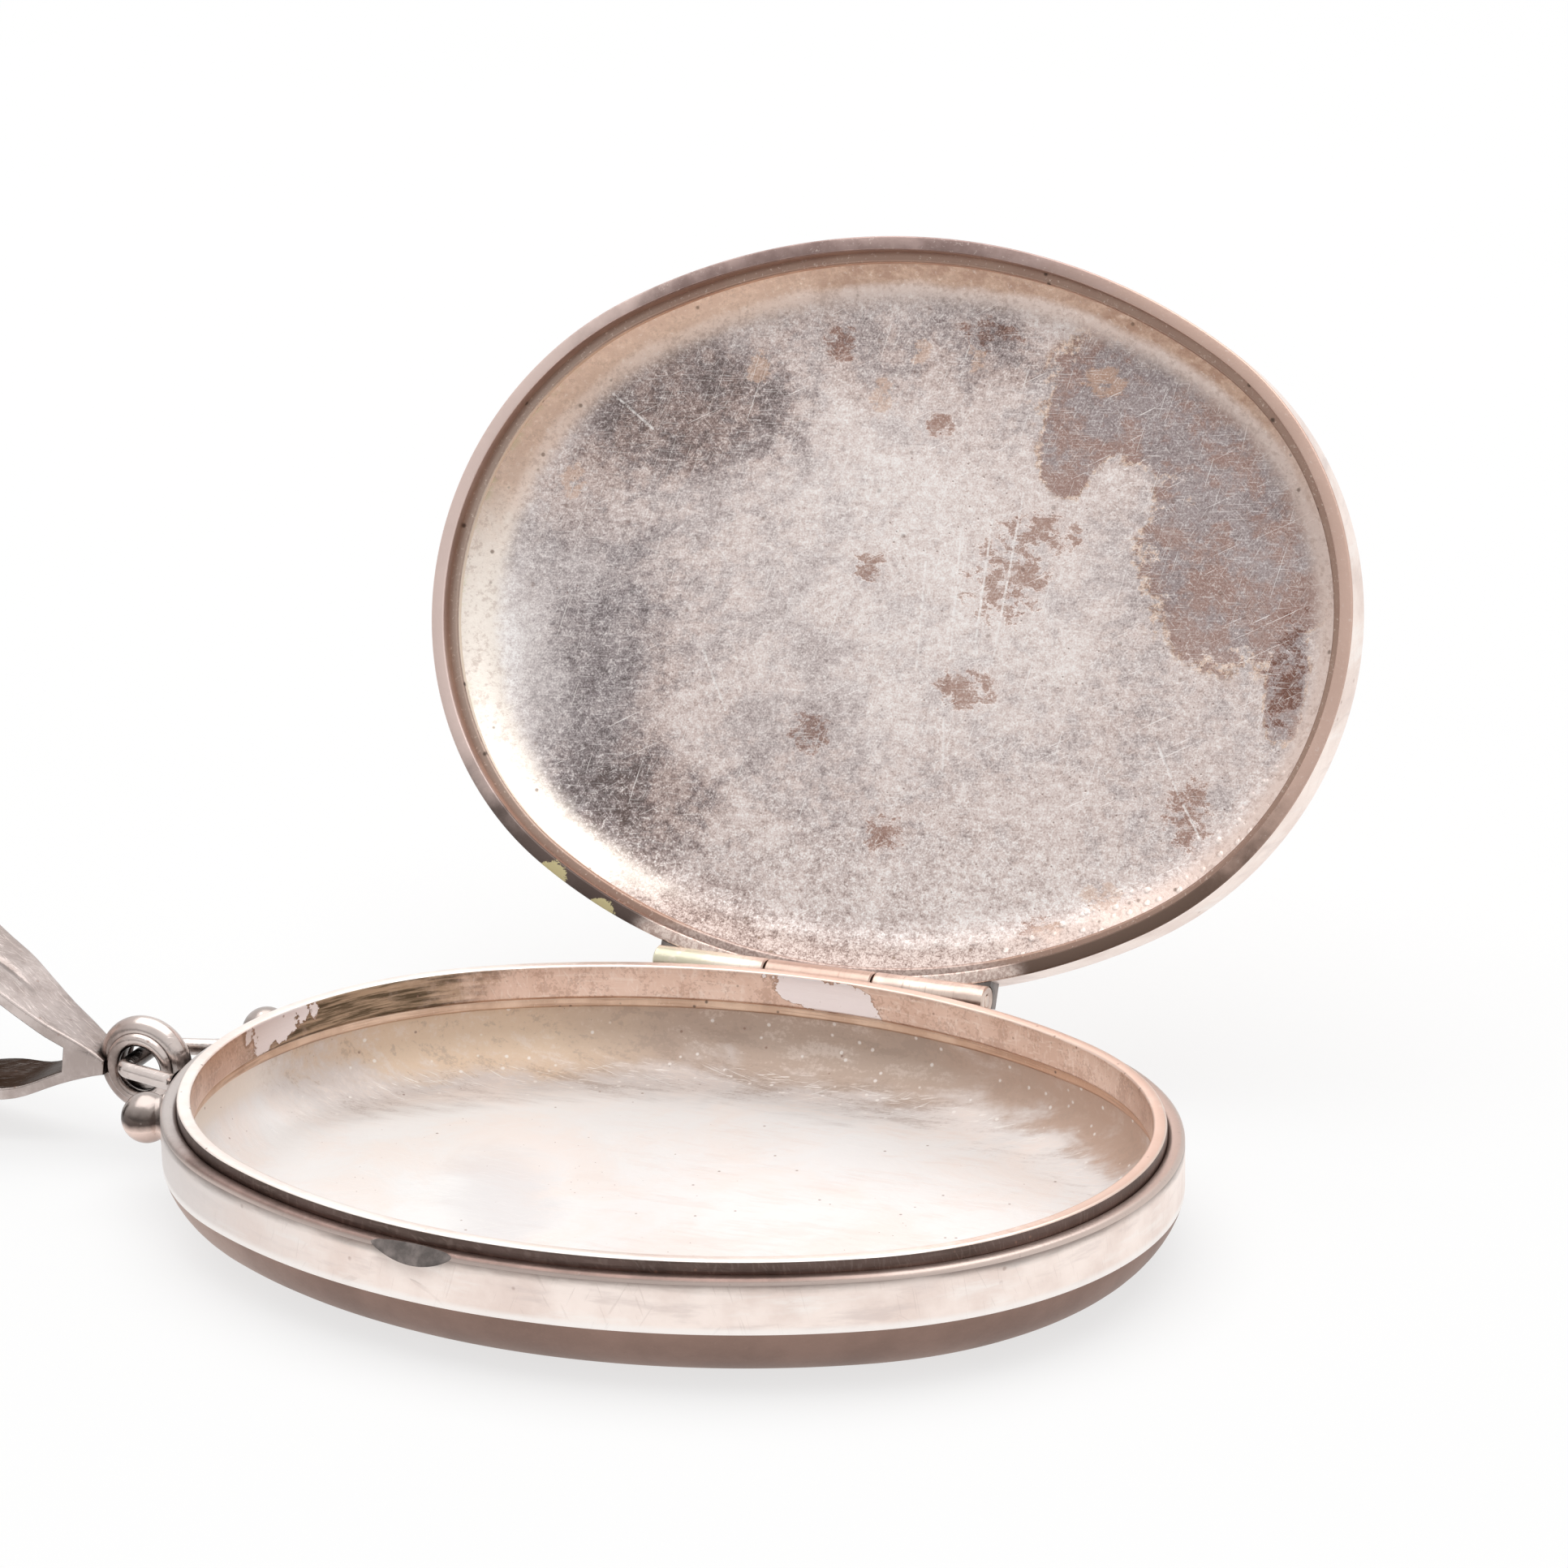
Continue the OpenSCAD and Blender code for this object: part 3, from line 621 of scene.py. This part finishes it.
def bailSilver(name, first, second, scored, edge):
    # polished silver with dark patina in its hollows, and darker towards the eye, patina there with painted
    # dark reflection
    f = Finish(name)
    p, x, y, z, soft, fine = f.onCase((0.6, 6, 0.62), (7, 4, 0.65))
    f.body = f.mix(f.fade(soft, 0.38, 0.64), first, second)
    # darker towards the eye: patina with painted dark reflection
    f.lay(f.fade(x + soft.sway(4), -29.5, -25.5) * 0.4, tone(146, 134, 129))
    # painted highlight: lighter over the eye's right side
    f.lay(f.fade(x, -23.6, -22.2) * f.fade(x, -19.5, -20.5) * 0.6, tone(236, 224, 218))
    f.lay(f.dots(p, 1.6, 0.05, 0.14) * 0.5, stain["brown"])
    scratch = f.scuffs(p, (0, 8, 10), 0.9, 0.05, 0.62, 0.71) + f.scuffs(p, (0, 8, -40), 0.7, 0.04, 0.63, 0.72)
    f.lay(scratch.least(1.0) * scored, tone(253, 247, 244))
    # painted shade: a dark line down the strap's flute; and a duller shine where the face is seen flat on
    f.lay(f.fade(y * y, 0.1, 0.01) * f.fade(x, -27.2, -28.6) * 0.6, tone(118, 106, 101))
    f.shader.inputs["Specular Tint"].default_value = edge
    hollow = f.add("AmbientOcclusion", {"samples": 8, "only_local": False}, {"Distance": 0.0014}, "AO")
    f.lay(f.fade(hollow + fine.sway(0.3), 0.85, 0.4) * 0.92, tone(46, 39, 36))
    return f.done(0.1 + 0.12 * fine + 0.08 * soft, soft + fine * 0.2 + scratch * 0.3, 0.25, 0.00006)


def granuleReflectionSilver():
    # balls: painted reflection of the studio, pale on top for the sky, a dark waist for the room, pinkish
    # below for the floor
    f = Finish("granule silver painted reflection")
    p, x, y, z, soft, fine = f.onCase((0.9, 5, 0.6), (8, 3, 0.65))
    level = z + soft.sway(0.5)
    f.body = f.ramp((level - 2.4) / 2.1, (
        (0.08, tone(160, 138, 129)), (0.36, tone(238, 213, 202)), (0.52, tone(84, 72, 68)),
        (0.66, tone(104, 93, 88)), (0.86, tone(176, 164, 158))))
    # painted glints: small bright spots
    f.lay(f.dots(p, 2.0, 0.06, 0.16) * 0.6, tone(240, 228, 221))
    return f.done(0.16 + 0.16 * fine, soft + fine * 0.3, 0.25, 0.00006)


def wireSilver(name, first, second):
    # bearer wire under the lip: cream and tan, with fine lines along it
    f = Finish(name)
    p, x, y, z, soft, fine = f.onCase((0.6, 5, 0.6), (9, 3, 0.6))
    lines = f.cloud(f.place((0.3, 0.3, 9.0), source=p), 1.0, 3, 0.6)
    f.body = f.mix(f.fade(soft, 0.35, 0.65), first, second)
    f.lay(f.fade(x + soft.sway(8), 2, 13) * 0.7, tone(196, 152, 126))
    f.lay(f.fade(lines, 0.5, 0.36) * 0.5, tone(170, 136, 116))
    f.lay(f.fade(fine, 0.6, 0.75) * 0.4, tone(240, 224, 210))
    f.lay(f.dots(p, 1.4, 0.05, 0.13) * 0.8, stain["dark"])
    return f.done(0.3 + 0.16 * fine, lines + fine * 0.3, 0.3, 0.00005)


outer, lidOuter = outerSilver("outer silver", True), outerSilver("lid outer silver", False)
footShade, ledgeShade, notch, rim = footShadeSilver(), ledgeShadeSilver(), notchSilver(), rimSilver()
well, lidInside = wellSilver(), lidSilver()
lipTop = lipSilver("lip top silver", tone(254, 247, 240), tone(244, 230, 222), tone(255, 252, 249), "top")
lipInner = lipSilver(
    "lip inner silver", tone(232, 204, 188), tone(214, 182, 164), tone(244, 228, 217), "inner")
lipOuter = lipSilver("lip outer silver", tone(112, 94, 88), tone(92, 78, 72), tone(140, 122, 114), "outer")
hinge, granuleReflection = hingeSilver(), granuleReflectionSilver()
bail = bailSilver("bail silver", tone(216, 203, 198), tone(184, 170, 164), 0.05, (1, 1, 1, 1))
# a darker copy for the faces inside the loop: painted shade
bailInnerShade = bailSilver("bail inner silver painted shade", tone(112, 103, 99), tone(90, 82, 78), 0.15, (0.3, 0.28, 0.27, 1))
bailRing = bailSilver("bail ring silver", tone(196, 176, 168), tone(134, 118, 111), 0.05, (1, 1, 1, 1))
baseWire = wireSilver("base wire silver", tone(226, 198, 176), tone(204, 174, 152))
lidWire = lidWireSilver()
print("finishes made")


# Lower half and lid
basePan = {"high": 4.5, "rise": 2.4, "wall": 0.66, "sheet": 0.5, "run": 3.2, "soften": 0.2, "dent": 0.02}
lidPan = {"high": 3.0, "rise": 1.3, "wall": 0.56, "sheet": 0.5, "run": 3.2, "soften": 0.07, "dent": 0.03}
lidTop = 7.579


def panShell(pan):
    # one pressed sheet: rounded edge, straight wall, flat rim
    bm = bmesh.new()
    high, rise, wall = pan["high"], pan["rise"], pan["wall"]
    sheet, run, soften = pan["sheet"], pan["run"], pan["soften"]
    radius = (run ** 2 + rise ** 2) / (2 * rise)
    path = [bm.verts.new((endX + endRadius - run, 0, 0))]
    turnAbout(bm, path, run, radius, -math.asin(run / radius), 14)
    lineTo(bm, path, 0, high - soften)
    turnAbout(bm, path, soften, high - soften, -math.pi / 2, 3)
    lineTo(bm, path, wall - soften, high)
    turnAbout(bm, path, wall - soften, high - soften, -math.pi / 2, 3)
    inner = radius - sheet
    lean = math.asin((run - wall) / inner)
    lineTo(bm, path, wall, radius - inner * math.cos(lean))
    turnAbout(bm, path, run, radius, lean, 12)
    sweepOval(bm)
    fillFloor(bm, 0, 2, 1.5)
    fillFloor(bm, sheet, 5, 1.6)
    bmesh.ops.recalc_face_normals(bm, faces=bm.faces)
    for face in bm.faces:
        mid = face.calc_center_median()
        outward = insetOf(mid) - insetOf(mid + face.normal * 0.01)
        if mid.z > high - soften and insetOf(mid) < wall + 0.01:
            face.material_index = 1
        elif mid.z < rise and face.normal.z < -0.05:
            face.material_index = 4
        elif face.normal.z > 0.1 or outward < -0.001 and face.normal.z > -0.1:
            face.material_index = 2
    for vert in bm.verts:
        if insetOf(vert.co) > run + 0.1 and vert.co.z > 0.1:
            vert.co.z += pan["dent"] * noise.noise(vert.co * 0.12)
    return bm


thumbNotch = {"x": -4.0, "width": 4.0, "height": 0.62, "depth": 0.36}
hingeFit = {
    "knuckle": 0.62, "gap": 0.08, "middle": 4.6, "length": 14.4, "soften": 0.06,
    "pin": 0.25, "play": 0.03, "pinSoften": 0.05,
}


def hingeRoom(middle, outerSize):
    reach = hingeFit["length"] / 2 - hingeFit["middle"] / 2 + hingeFit["gap"]
    half = hingeFit["middle"] / 2
    return [bar(middle, -half, 2 * half), bar(outerSize, half, reach), bar(outerSize, -half - reach, reach)]


def notchBall():
    half, rise, depth = thumbNotch["width"] / 2, thumbNotch["height"], thumbNotch["depth"]
    lift = (half ** 2 - rise ** 2) / (2 * rise)
    ring = rise + lift
    bite = depth * ring ** 2 / half ** 2
    radius = (ring ** 2 + bite ** 2) / (2 * bite)
    wallY = sideY - math.sqrt(sideRadius ** 2 - thumbNotch["x"] ** 2)
    bm = bmesh.new()
    bmesh.ops.create_uvsphere(
        bm, u_segments=160, v_segments=96, radius=radius,
        matrix=Matrix.Translation((thumbNotch["x"], wallY + bite - radius, basePan["high"] + lift)))
    return bm


free, tight = hingeFit["knuckle"] + hingeFit["gap"], hingeFit["knuckle"]
caseFinishes = [outer, ledgeShade, well, notch, footShade]
baseShell = carve(panShell(basePan), hingeRoom(tight, free) + [notchBall()], caseFinishes, 3)
settle("basePan", baseShell, "base", "base_pan", caseFinishes)

lidFinishes = [lidOuter, rim, lidInside, notch, lidOuter]
lidShell = panShell(lidPan)
bmesh.ops.scale(lidShell, vec=(1, 1, -1), verts=lidShell.verts)
bmesh.ops.translate(lidShell, vec=(0, 0, lidTop), verts=lidShell.verts)
lidShell = carve(lidShell, hingeRoom(free, tight), lidFinishes, 3)
bmesh.ops.rotate(lidShell, cent=hingePoint, matrix=openLid, verts=lidShell.verts)
settle("lidPan", lidShell, "lid", "lid_pan", lidFinishes)


# Snap lip and bearer wires
lipShape = {"inset": 0.66, "thick": 0.55, "low": 3.56, "high": 4.96, "soften": 0.12}
baseBearer = {"inset": 0.66, "thick": 0.4, "low": 3.11, "high": 3.56, "soften": 0.12}
lidBearer = {"inset": 0.56, "thick": 0.4, "low": 5.16, "high": 5.61, "soften": 0.12}


def strip(shape):
    bm = bmesh.new()
    near, far = shape["inset"], shape["inset"] + shape["thick"]
    path = [bm.verts.new((endX + endRadius - near, 0, shape["low"]))]
    for inset, z in ((near, shape["high"]), (far, shape["high"]), (far, shape["low"])):
        lineTo(bm, path, inset, z)
    bm.edges.new((path[-1], path[0]))
    sweepOval(bm)
    edges = []
    for edge in bm.edges:
        # edges that run round the case, along the top and the inner side
        first, second = (v.co for v in edge.verts)
        level = abs(first.z - second.z) < 1e-4 and abs(insetOf(first) - insetOf(second)) < 1e-3
        if level and (insetOf(first) > far - 0.05 or first.z > shape["high"] - 0.05):
            edges.append(edge)
    softened(bm, edges, shape["soften"], 3)
    bmesh.ops.recalc_face_normals(bm, faces=bm.faces)
    for face in bm.faces:
        mid = face.calc_center_median()
        outward = insetOf(mid) - insetOf(mid + face.normal * 0.01)
        if face.normal.z > 0.6:
            face.material_index = 0
        elif outward > 0.002:
            face.material_index = 2
        else:
            face.material_index = 1
    return bm


lipFinishes = [lipTop, lipInner, lipOuter]
lip = carve(strip(lipShape), hingeRoom(tight, free), lipFinishes, 2)
settle("lipStrip", lip, "base", "lip_strip", lipFinishes)
settle("baseBearer", strip(baseBearer), "base", "base_bearer", [baseWire, baseWire, baseWire])
wire = carve(strip(lidBearer), hingeRoom(free, tight), [lidWire, lidWire, lidWire], 0)
bmesh.ops.rotate(wire, cent=hingePoint, matrix=openLid, verts=wire.verts)
settle("lidBearer", wire, "lid", "lid_bearer", [lidWire, lidWire, lidWire])


# Hinge
def knuckle(x, length):
    # rolled tube: a section spun round the hinge axis
    bm = bmesh.new()
    bore, size, soft = hingeFit["pin"] + hingeFit["play"], hingeFit["knuckle"], hingeFit["soften"]
    end = x + length
    corners = [(x + soft, bore), (x, bore + soft), (x, size - soft), (x + soft, size),
               (end - soft, size), (end, size - soft), (end, bore + soft), (end - soft, bore)]
    verts = [bm.verts.new((u, hingePoint.y, hingePoint.z + r)) for u, r in corners]
    edges = [bm.edges.new((a, b)) for a, b in zip(verts, verts[1:] + verts[:1])]
    spun(bm, verts + edges, hingePoint, lengthAxis, 2 * math.pi, 64, True)
    return bm


middle = hingeFit["middle"]
side = middle / 2 + hingeFit["gap"]
sideLength = hingeFit["length"] / 2 - side
for name, body, node, x, length in (
        ("baseKnuckle", "base", "base_knuckle", -middle / 2, middle),
        ("lidKnuckleLeft", "lid", "lid_knuckle_left", -side - sideLength, sideLength),
        ("lidKnuckleRight", "lid", "lid_knuckle_right", side, sideLength)):
    settle(name, knuckle(x, length), body, node, [hinge])
pin = bar(hingeFit["pin"], -hingeFit["length"] / 2, hingeFit["length"], 40)
rounds = [e for e in pin.edges if abs(e.verts[0].co.x - e.verts[1].co.x) < 1e-4]
softened(pin, rounds, hingeFit["pinSoften"], 2)
settle("hingePin", pin, "base", "hinge_pin", [hinge])

for name in ("base_joint_seat", "lid_joint_seat_left", "lid_joint_seat_right"):
    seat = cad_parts[name].data.materials
    seat.clear()
    seat.append(notch)


# Staple and granules on the end
stapleShape = {
    "x": -22.88, "z": 3.74, "wire": 0.34, "tip": 2.7, "bend": 0.5, "turn": 75.0, "leg": 2.72, "flare": 0.16,
}


def staple():
    # half of the bent wire, then its mirror image
    bm = bmesh.new()
    wireSize, bend, turn = stapleShape["wire"], stapleShape["bend"], math.radians(stapleShape["turn"])
    straight = stapleShape["tip"] / 2 - bend * math.tan(turn / 2)
    bmesh.ops.create_circle(
        bm, cap_ends=False, segments=28, radius=wireSize, matrix=Matrix.Rotation(math.pi / 2, 4, "X"))

    def carry(edges, move):
        made = bmesh.ops.extrude_edge_only(bm, edges=edges)["geom"]
        bmesh.ops.translate(bm, vec=move, verts=vertsOf(made))
        return [g for g in made if isinstance(g, bmesh.types.BMEdge) and len(g.link_faces) == 1]

    edges = carry(bm.edges[:], (0, -straight, 0))
    geom = spun(bm, edges + ends(edges), (bend, -straight, 0), upAxis, turn, 14)
    edges = [g for g in geom if isinstance(g, bmesh.types.BMEdge)]
    way = Vector((math.sin(turn), -math.cos(turn), 0))
    leg, flare = stapleShape["leg"], stapleShape["flare"]
    for part, grow in ((0.72, 1.0), (0.1, 1 + flare * 0.3), (0.1, 1 + flare * 1.2), (0.08, 1 + flare * 3)):
        edges = carry(edges, way * leg * part)
        verts = ends(edges)
        centre = sum((v.co for v in verts), Vector()) / len(verts)
        bmesh.ops.scale(bm, vec=(grow, grow, grow), verts=verts, space=Matrix.Translation(-centre))
    bmesh.ops.edgeloop_fill(bm, edges=edges)
    bmesh.ops.mirror(bm, geom=bm.verts[:] + bm.edges[:] + bm.faces[:], axis="Y", merge_dist=0.001)
    bmesh.ops.translate(bm, vec=(stapleShape["x"], 0, stapleShape["z"]), verts=bm.verts)
    return bm


settle("endStaple", staple(), "base", "end_staple", [bail], 60)

granuleShape = {"size": 1.0, "pitch": 4.97, "sink": 0.3, "z": 3.45, "flare": 0.16, "collar": 0.2}


def granule(sideSign):
    # ball with its collar of solder, spun round the line that stands on the wall
    bm = bmesh.new()
    size, lift = granuleShape["size"], granuleShape["size"] - granuleShape["sink"]
    tip = bm.verts.new((lift + size, 0, 0))
    low = lift - granuleShape["collar"]
    reach = math.sqrt(size ** 2 - low ** 2)
    stop = math.acos(-low / size)
    last = vertsOf(spun(bm, [tip], (lift, 0, 0), upAxis, stop, 22))[0]
    flare = granuleShape["flare"]
    for along, grow in ((0.1, 0.02), (0.03, 0.05), (-0.02, flare), (-0.16, flare)):
        nextVert = bm.verts.new((along, (reach + grow) * math.copysign(1, last.co.y), 0))
        bm.edges.new((last, nextVert))
        last = nextVert
    spun(bm, bm.verts[:] + bm.edges[:], (0, 0, 0), lengthAxis, 2 * math.pi, 48, True)
    bmesh.ops.remove_doubles(bm, verts=bm.verts, dist=0.0005)
    bmesh.ops.edgeloop_fill(bm, edges=[e for e in bm.edges if len(e.link_faces) == 1])
    lean = math.asin(granuleShape["pitch"] / (endRadius + lift))
    stand = Matrix.Rotation(math.pi - sideSign * lean, 3, "Z")
    bmesh.ops.translate(bm, vec=(endRadius, 0, 0), verts=bm.verts)
    bmesh.ops.rotate(bm, cent=(0, 0, 0), matrix=stand, verts=bm.verts)
    bmesh.ops.translate(bm, vec=(-endX, 0, granuleShape["z"]), verts=bm.verts)
    return bm


settle("granuleFront", granule(-1), "base", "granule_front", [granuleReflection], 60)
settle("granuleBack", granule(1), "base", "granule_back", [granuleReflection], 60)


# Bail: its eye and its folded strap
bailShape = {
    "eyeX": -22.573, "eyeZ": 3.50, "tilt": 8.064,
    "bore": 0.93, "bead": 0.27, "core": 0.535, "eyeWidth": 1.04,
    "root": 1.5, "tip": 0.8, "drop": 0.35, "reach": 14.4, "loop": 5.498, "thick": 0.42,
    "fork": 3.2, "forkHigh": 1.0, "neck": 1.6, "width": 6.4, "leafStart": 2.0, "soften": 0.09,
    "flute": 0.07, "fluteStart": 5.2, "fluteHalf": 0.15,
    "rows": (-0.8, -0.3, -0.15, -0.06, 0.0, 0.06, 0.15, 0.3, 0.8, 1.0),
    "bulge": ((1, 4.0, 0.7, -0.06), (1, 6.3, 0.9, 0.12), (-1, 4.9, 1.3, 0.3)),
}
eyePoint = Vector((bailShape["eyeX"], 0, bailShape["eyeZ"]))

eye = bmesh.new()
for size, offset in (("core", 0), ("bead", -0.5), ("bead", 0.5)):
    # a round wire, spun about the eye's axis
    place = Matrix.Translation((bailShape["bore"] + bailShape[size], offset * bailShape["eyeWidth"], 0))
    bmesh.ops.create_circle(eye, cap_ends=False, segments=32, radius=bailShape[size], matrix=place)
    ring = [e for e in eye.edges if not e.link_faces]
    spun(eye, ends(ring) + ring, (0, 0, 0), sideAxis, 2 * math.pi, 96, True)
bmesh.ops.translate(eye, vec=eyePoint, verts=eye.verts)
settle("bailEye", eye, "bail", "bail_eye", [bailRing], 80)


def strap():
    # flat outline of the folded strap, widened to its leaf
    bm = bmesh.new()
    reach, loop, thick, drop = (bailShape[k] for k in ("reach", "loop", "thick", "drop"))
    neckRun = reach - bailShape["tip"]
    lean = math.atan2(drop, neckRun)
    half = math.asin(loop / math.hypot(neckRun, drop))
    turn = math.pi / 2 + half

    def legAt(u, side):
        # height of the upper or lower outer face before the bend
        return (u - bailShape["tip"]) * math.tan(lean + side * half) - drop

    def outline(start, low, high, radius):
        # lower start, round the loop, upper start
        first = bm.verts.new((
            reach + radius * math.cos(turn - lean), 0, -radius * math.sin(turn - lean)))
        last = vertsOf(spun(bm, [first], (reach, 0, 0), sideAxis, -2 * turn, 72))[0]
        base = [bm.verts.new((start, 0, z)) for z in (low, high)]
        bm.edges.new(base)
        legs = [bm.edges.new((base[0], first)), bm.edges.new((last, base[1]))]
        bmesh.ops.subdivide_edges(bm, edges=legs, cuts=24, use_grid_fill=False)

    root, fork, forkHigh = bailShape["root"], bailShape["fork"], bailShape["forkHigh"]
    outline(root, legAt(root, -1), legAt(root, 1), loop)
    middle = -drop * (reach - fork) / neckRun
    outline(fork, middle - forkHigh / 2, middle + forkHigh / 2, loop - thick)
    flat = bmesh.ops.bridge_loops(bm, edges=bm.edges[:])["faces"]
    bmesh.ops.translate(bm, vec=(0, -1, 0), verts=bm.verts)
    at = -1.0
    for level in bailShape["rows"]:
        made = bmesh.ops.extrude_face_region(bm, geom=flat)["geom"]
        if at > -1.0:
            bmesh.ops.delete(bm, geom=flat, context="FACES_ONLY")    # leaves no wall inside
        flat = [g for g in made if isinstance(g, bmesh.types.BMFace)]
        bmesh.ops.translate(bm, vec=(0, level - at, 0), verts=vertsOf(made))
        at = level
    bmesh.ops.remove_doubles(bm, verts=bm.verts, dist=1e-5)
    leafStart, far = bailShape["leafStart"], reach + loop
    run = far - leafStart
    gain = (bailShape["width"] - bailShape["neck"]) / 2
    leaf = (run ** 2 + gain ** 2) / (2 * gain)
    bend = reach + loop * math.cos(turn)
    fluteStart, fluteHalf = bailShape["fluteStart"], bailShape["fluteHalf"]

    def sideOf(u, n):
        # upper or lower leg, and the way out of the loop there
        side = 1 if n > legAt(bailShape["tip"], 1) * (reach - u) / neckRun else -1
        return side, Vector((u - reach, 0, n)).normalized() if u > bend else Vector((0, 0, side))

    for vert in bm.verts:
        u, v, n = vert.co
        side, outward = sideOf(u, n)
        wide = math.sqrt(leaf ** 2 - (far - max(u, leafStart)) ** 2) - (leaf - bailShape["width"] / 2)
        # the flute is a valley down the middle of the outer face
        over = math.hypot(u - reach, n) - loop if u > bend else side * (n - legAt(u, side))
        if over > -0.02 and abs(v) < fluteHalf - 0.01 and u > fluteStart:
            sink = bailShape["flute"] * min(1.0, (u - fluteStart) / 0.6)
            vert.co -= outward * sink * (1 - abs(v) / fluteHalf)
        for onSide, centre, spread, height in bailShape["bulge"]:
            if onSide == side:
                vert.co.z += side * height * math.exp(-((u - centre) / spread) ** 2)
        vert.co.y *= wide
    bmesh.ops.recalc_face_normals(bm, faces=bm.faces)
    for face in bm.faces:
        # the faces that look into the loop have their own finish, darker as painted shade inside the fold
        u, v, n = face.calc_center_median()
        if u > fork and face.normal.dot(sideOf(u, n)[1]) < -0.3:
            face.material_index = 1
    edges = [e for e in bm.edges if len(e.link_faces) == 2 and e.calc_face_angle(0) > 1.2]
    softened(bm, edges, bailShape["soften"], 3)
    tilt = math.radians(bailShape["tilt"])
    bmesh.ops.scale(bm, vec=(-1, 1, 1), verts=bm.verts)
    bmesh.ops.rotate(bm, cent=(0, 0, 0), matrix=Matrix.Rotation(tilt, 3, "Y"), verts=bm.verts)
    bmesh.ops.translate(bm, vec=eyePoint, verts=bm.verts)
    return bm


settle("bailStrap", strap(), "bail", "bail_strap", [bail, bailInnerShade], 50)


# Floor, light and camera
studio = {
    "floor": (tone(250, 250, 250), tone(248, 248, 247)), "reach": 1.2, "glow": 0.7,
    "sky": 0.53, "front": 0.16, "low": 0.5,
    "lampPower": 4.7, "lampSize": 1.0, "lampAt": (-0.08, 0.15, 0.75),
}
ground = Finish("floor")
grit = ground.cloud(ground.place((40, 40, 40)), 1.0, 3, 0.6)
colour = ground.mix(grit, *studio["floor"])
for key, value in (("Base Color", colour), ("Roughness", 0.9), ("Specular IOR Level", 0.0)):
    plug(ground.tree, ground.shader.inputs[key], value)


def shownRays(graph):
    # camera rays, then mirrored and refracted ones
    seen = graph.add("LightPath", out="Is Camera Ray")
    glossy = graph.add("LightPath", out="Is Glossy Ray")
    return seen, glossy.most(graph.add("LightPath", out="Is Transmission Ray"))


# a floor that shows partly as plain white, so that the shadow on it stays light
seen, mirrored = shownRays(ground)
white = ground.add("Emission", None, {"Color": (1, 1, 1, 1), "Strength": 1.0})
lit = Wire(ground.tree, ground.shader.outputs[0])
blend = ground.add("MixShader", None, {0: seen.most(mirrored) * studio["glow"], 1: lit, 2: white})
plug(ground.tree, ground.tree.nodes["Material Output"].inputs["Surface"], blend)
plane = bmesh.new()
bmesh.ops.create_grid(plane, x_segments=8, y_segments=8, size=studio["reach"])
floor = asObject("floor", plane, [ground.material])

# white studio, a little darker on the side where the camera stands
world = bpy.data.worlds.new("studio")
bpy.context.scene.world = world
world.use_nodes = True
sky = Graph(world.node_tree)
backdrop = sky.tree.nodes["Background"]
toward = sky.add("TexCoord", out="Generated")


def facing(way, low, high):
    dot = sky.add("VectorMath", {"operation": "DOT_PRODUCT"}, {0: toward, 1: Vector(way).normalized()}, 1)
    return sky.fade(dot, low, high)


shade = 1.0 - facing((-0.45, -0.8, 0.4), 0.6, 0.95) * studio["front"]
shade = shade * (1.0 - facing((0, 0, 1), 0.3, 0.12) * facing((0, -1, 0), 0.2, 0.6) * studio["low"])
seen, mirrored = shownRays(sky)
strength = studio["sky"] + (seen.most(mirrored) * (1.0 - studio["sky"]))
plug(sky.tree, backdrop.inputs["Strength"], strength * (1.0 - mirrored * (1.0 - seen) * (1.0 - shade)))
backdrop.inputs["Color"].default_value = (1, 1, 1, 1)

lamp = bpy.data.lights.new("softbox", "AREA")
lamp.energy, lamp.size = studio["lampPower"], studio["lampSize"]
lampObject = bpy.data.objects.new("softbox", lamp)
lampObject.location = studio["lampAt"]
bpy.context.collection.objects.link(lampObject)

view = {
    "at": (83.495, -183.232, 84.204), "azimuth": -23.16, "elevation": 18.32, "roll": -1.18, "lens": 130.42,
}
azimuth, elevation, roll = (math.radians(view[k]) for k in ("azimuth", "elevation", "roll"))
camera = bpy.data.cameras.new("camera")
camera.lens, camera.sensor_width = view["lens"], 36
cameraObject = bpy.data.objects.new("camera", camera)
aim = Matrix.Rotation(-azimuth, 4, "Z") @ Matrix.Rotation(math.pi / 2 - elevation, 4, "X")
aim = aim @ Matrix.Rotation(roll, 4, "Z")
cameraObject.matrix_world = Matrix.Translation(Vector(view["at"]) * mm) @ aim
bpy.context.collection.objects.link(cameraObject)
bpy.context.scene.camera = cameraObject
bpy.context.scene.view_settings.view_transform = "Standard"
print("studio set")
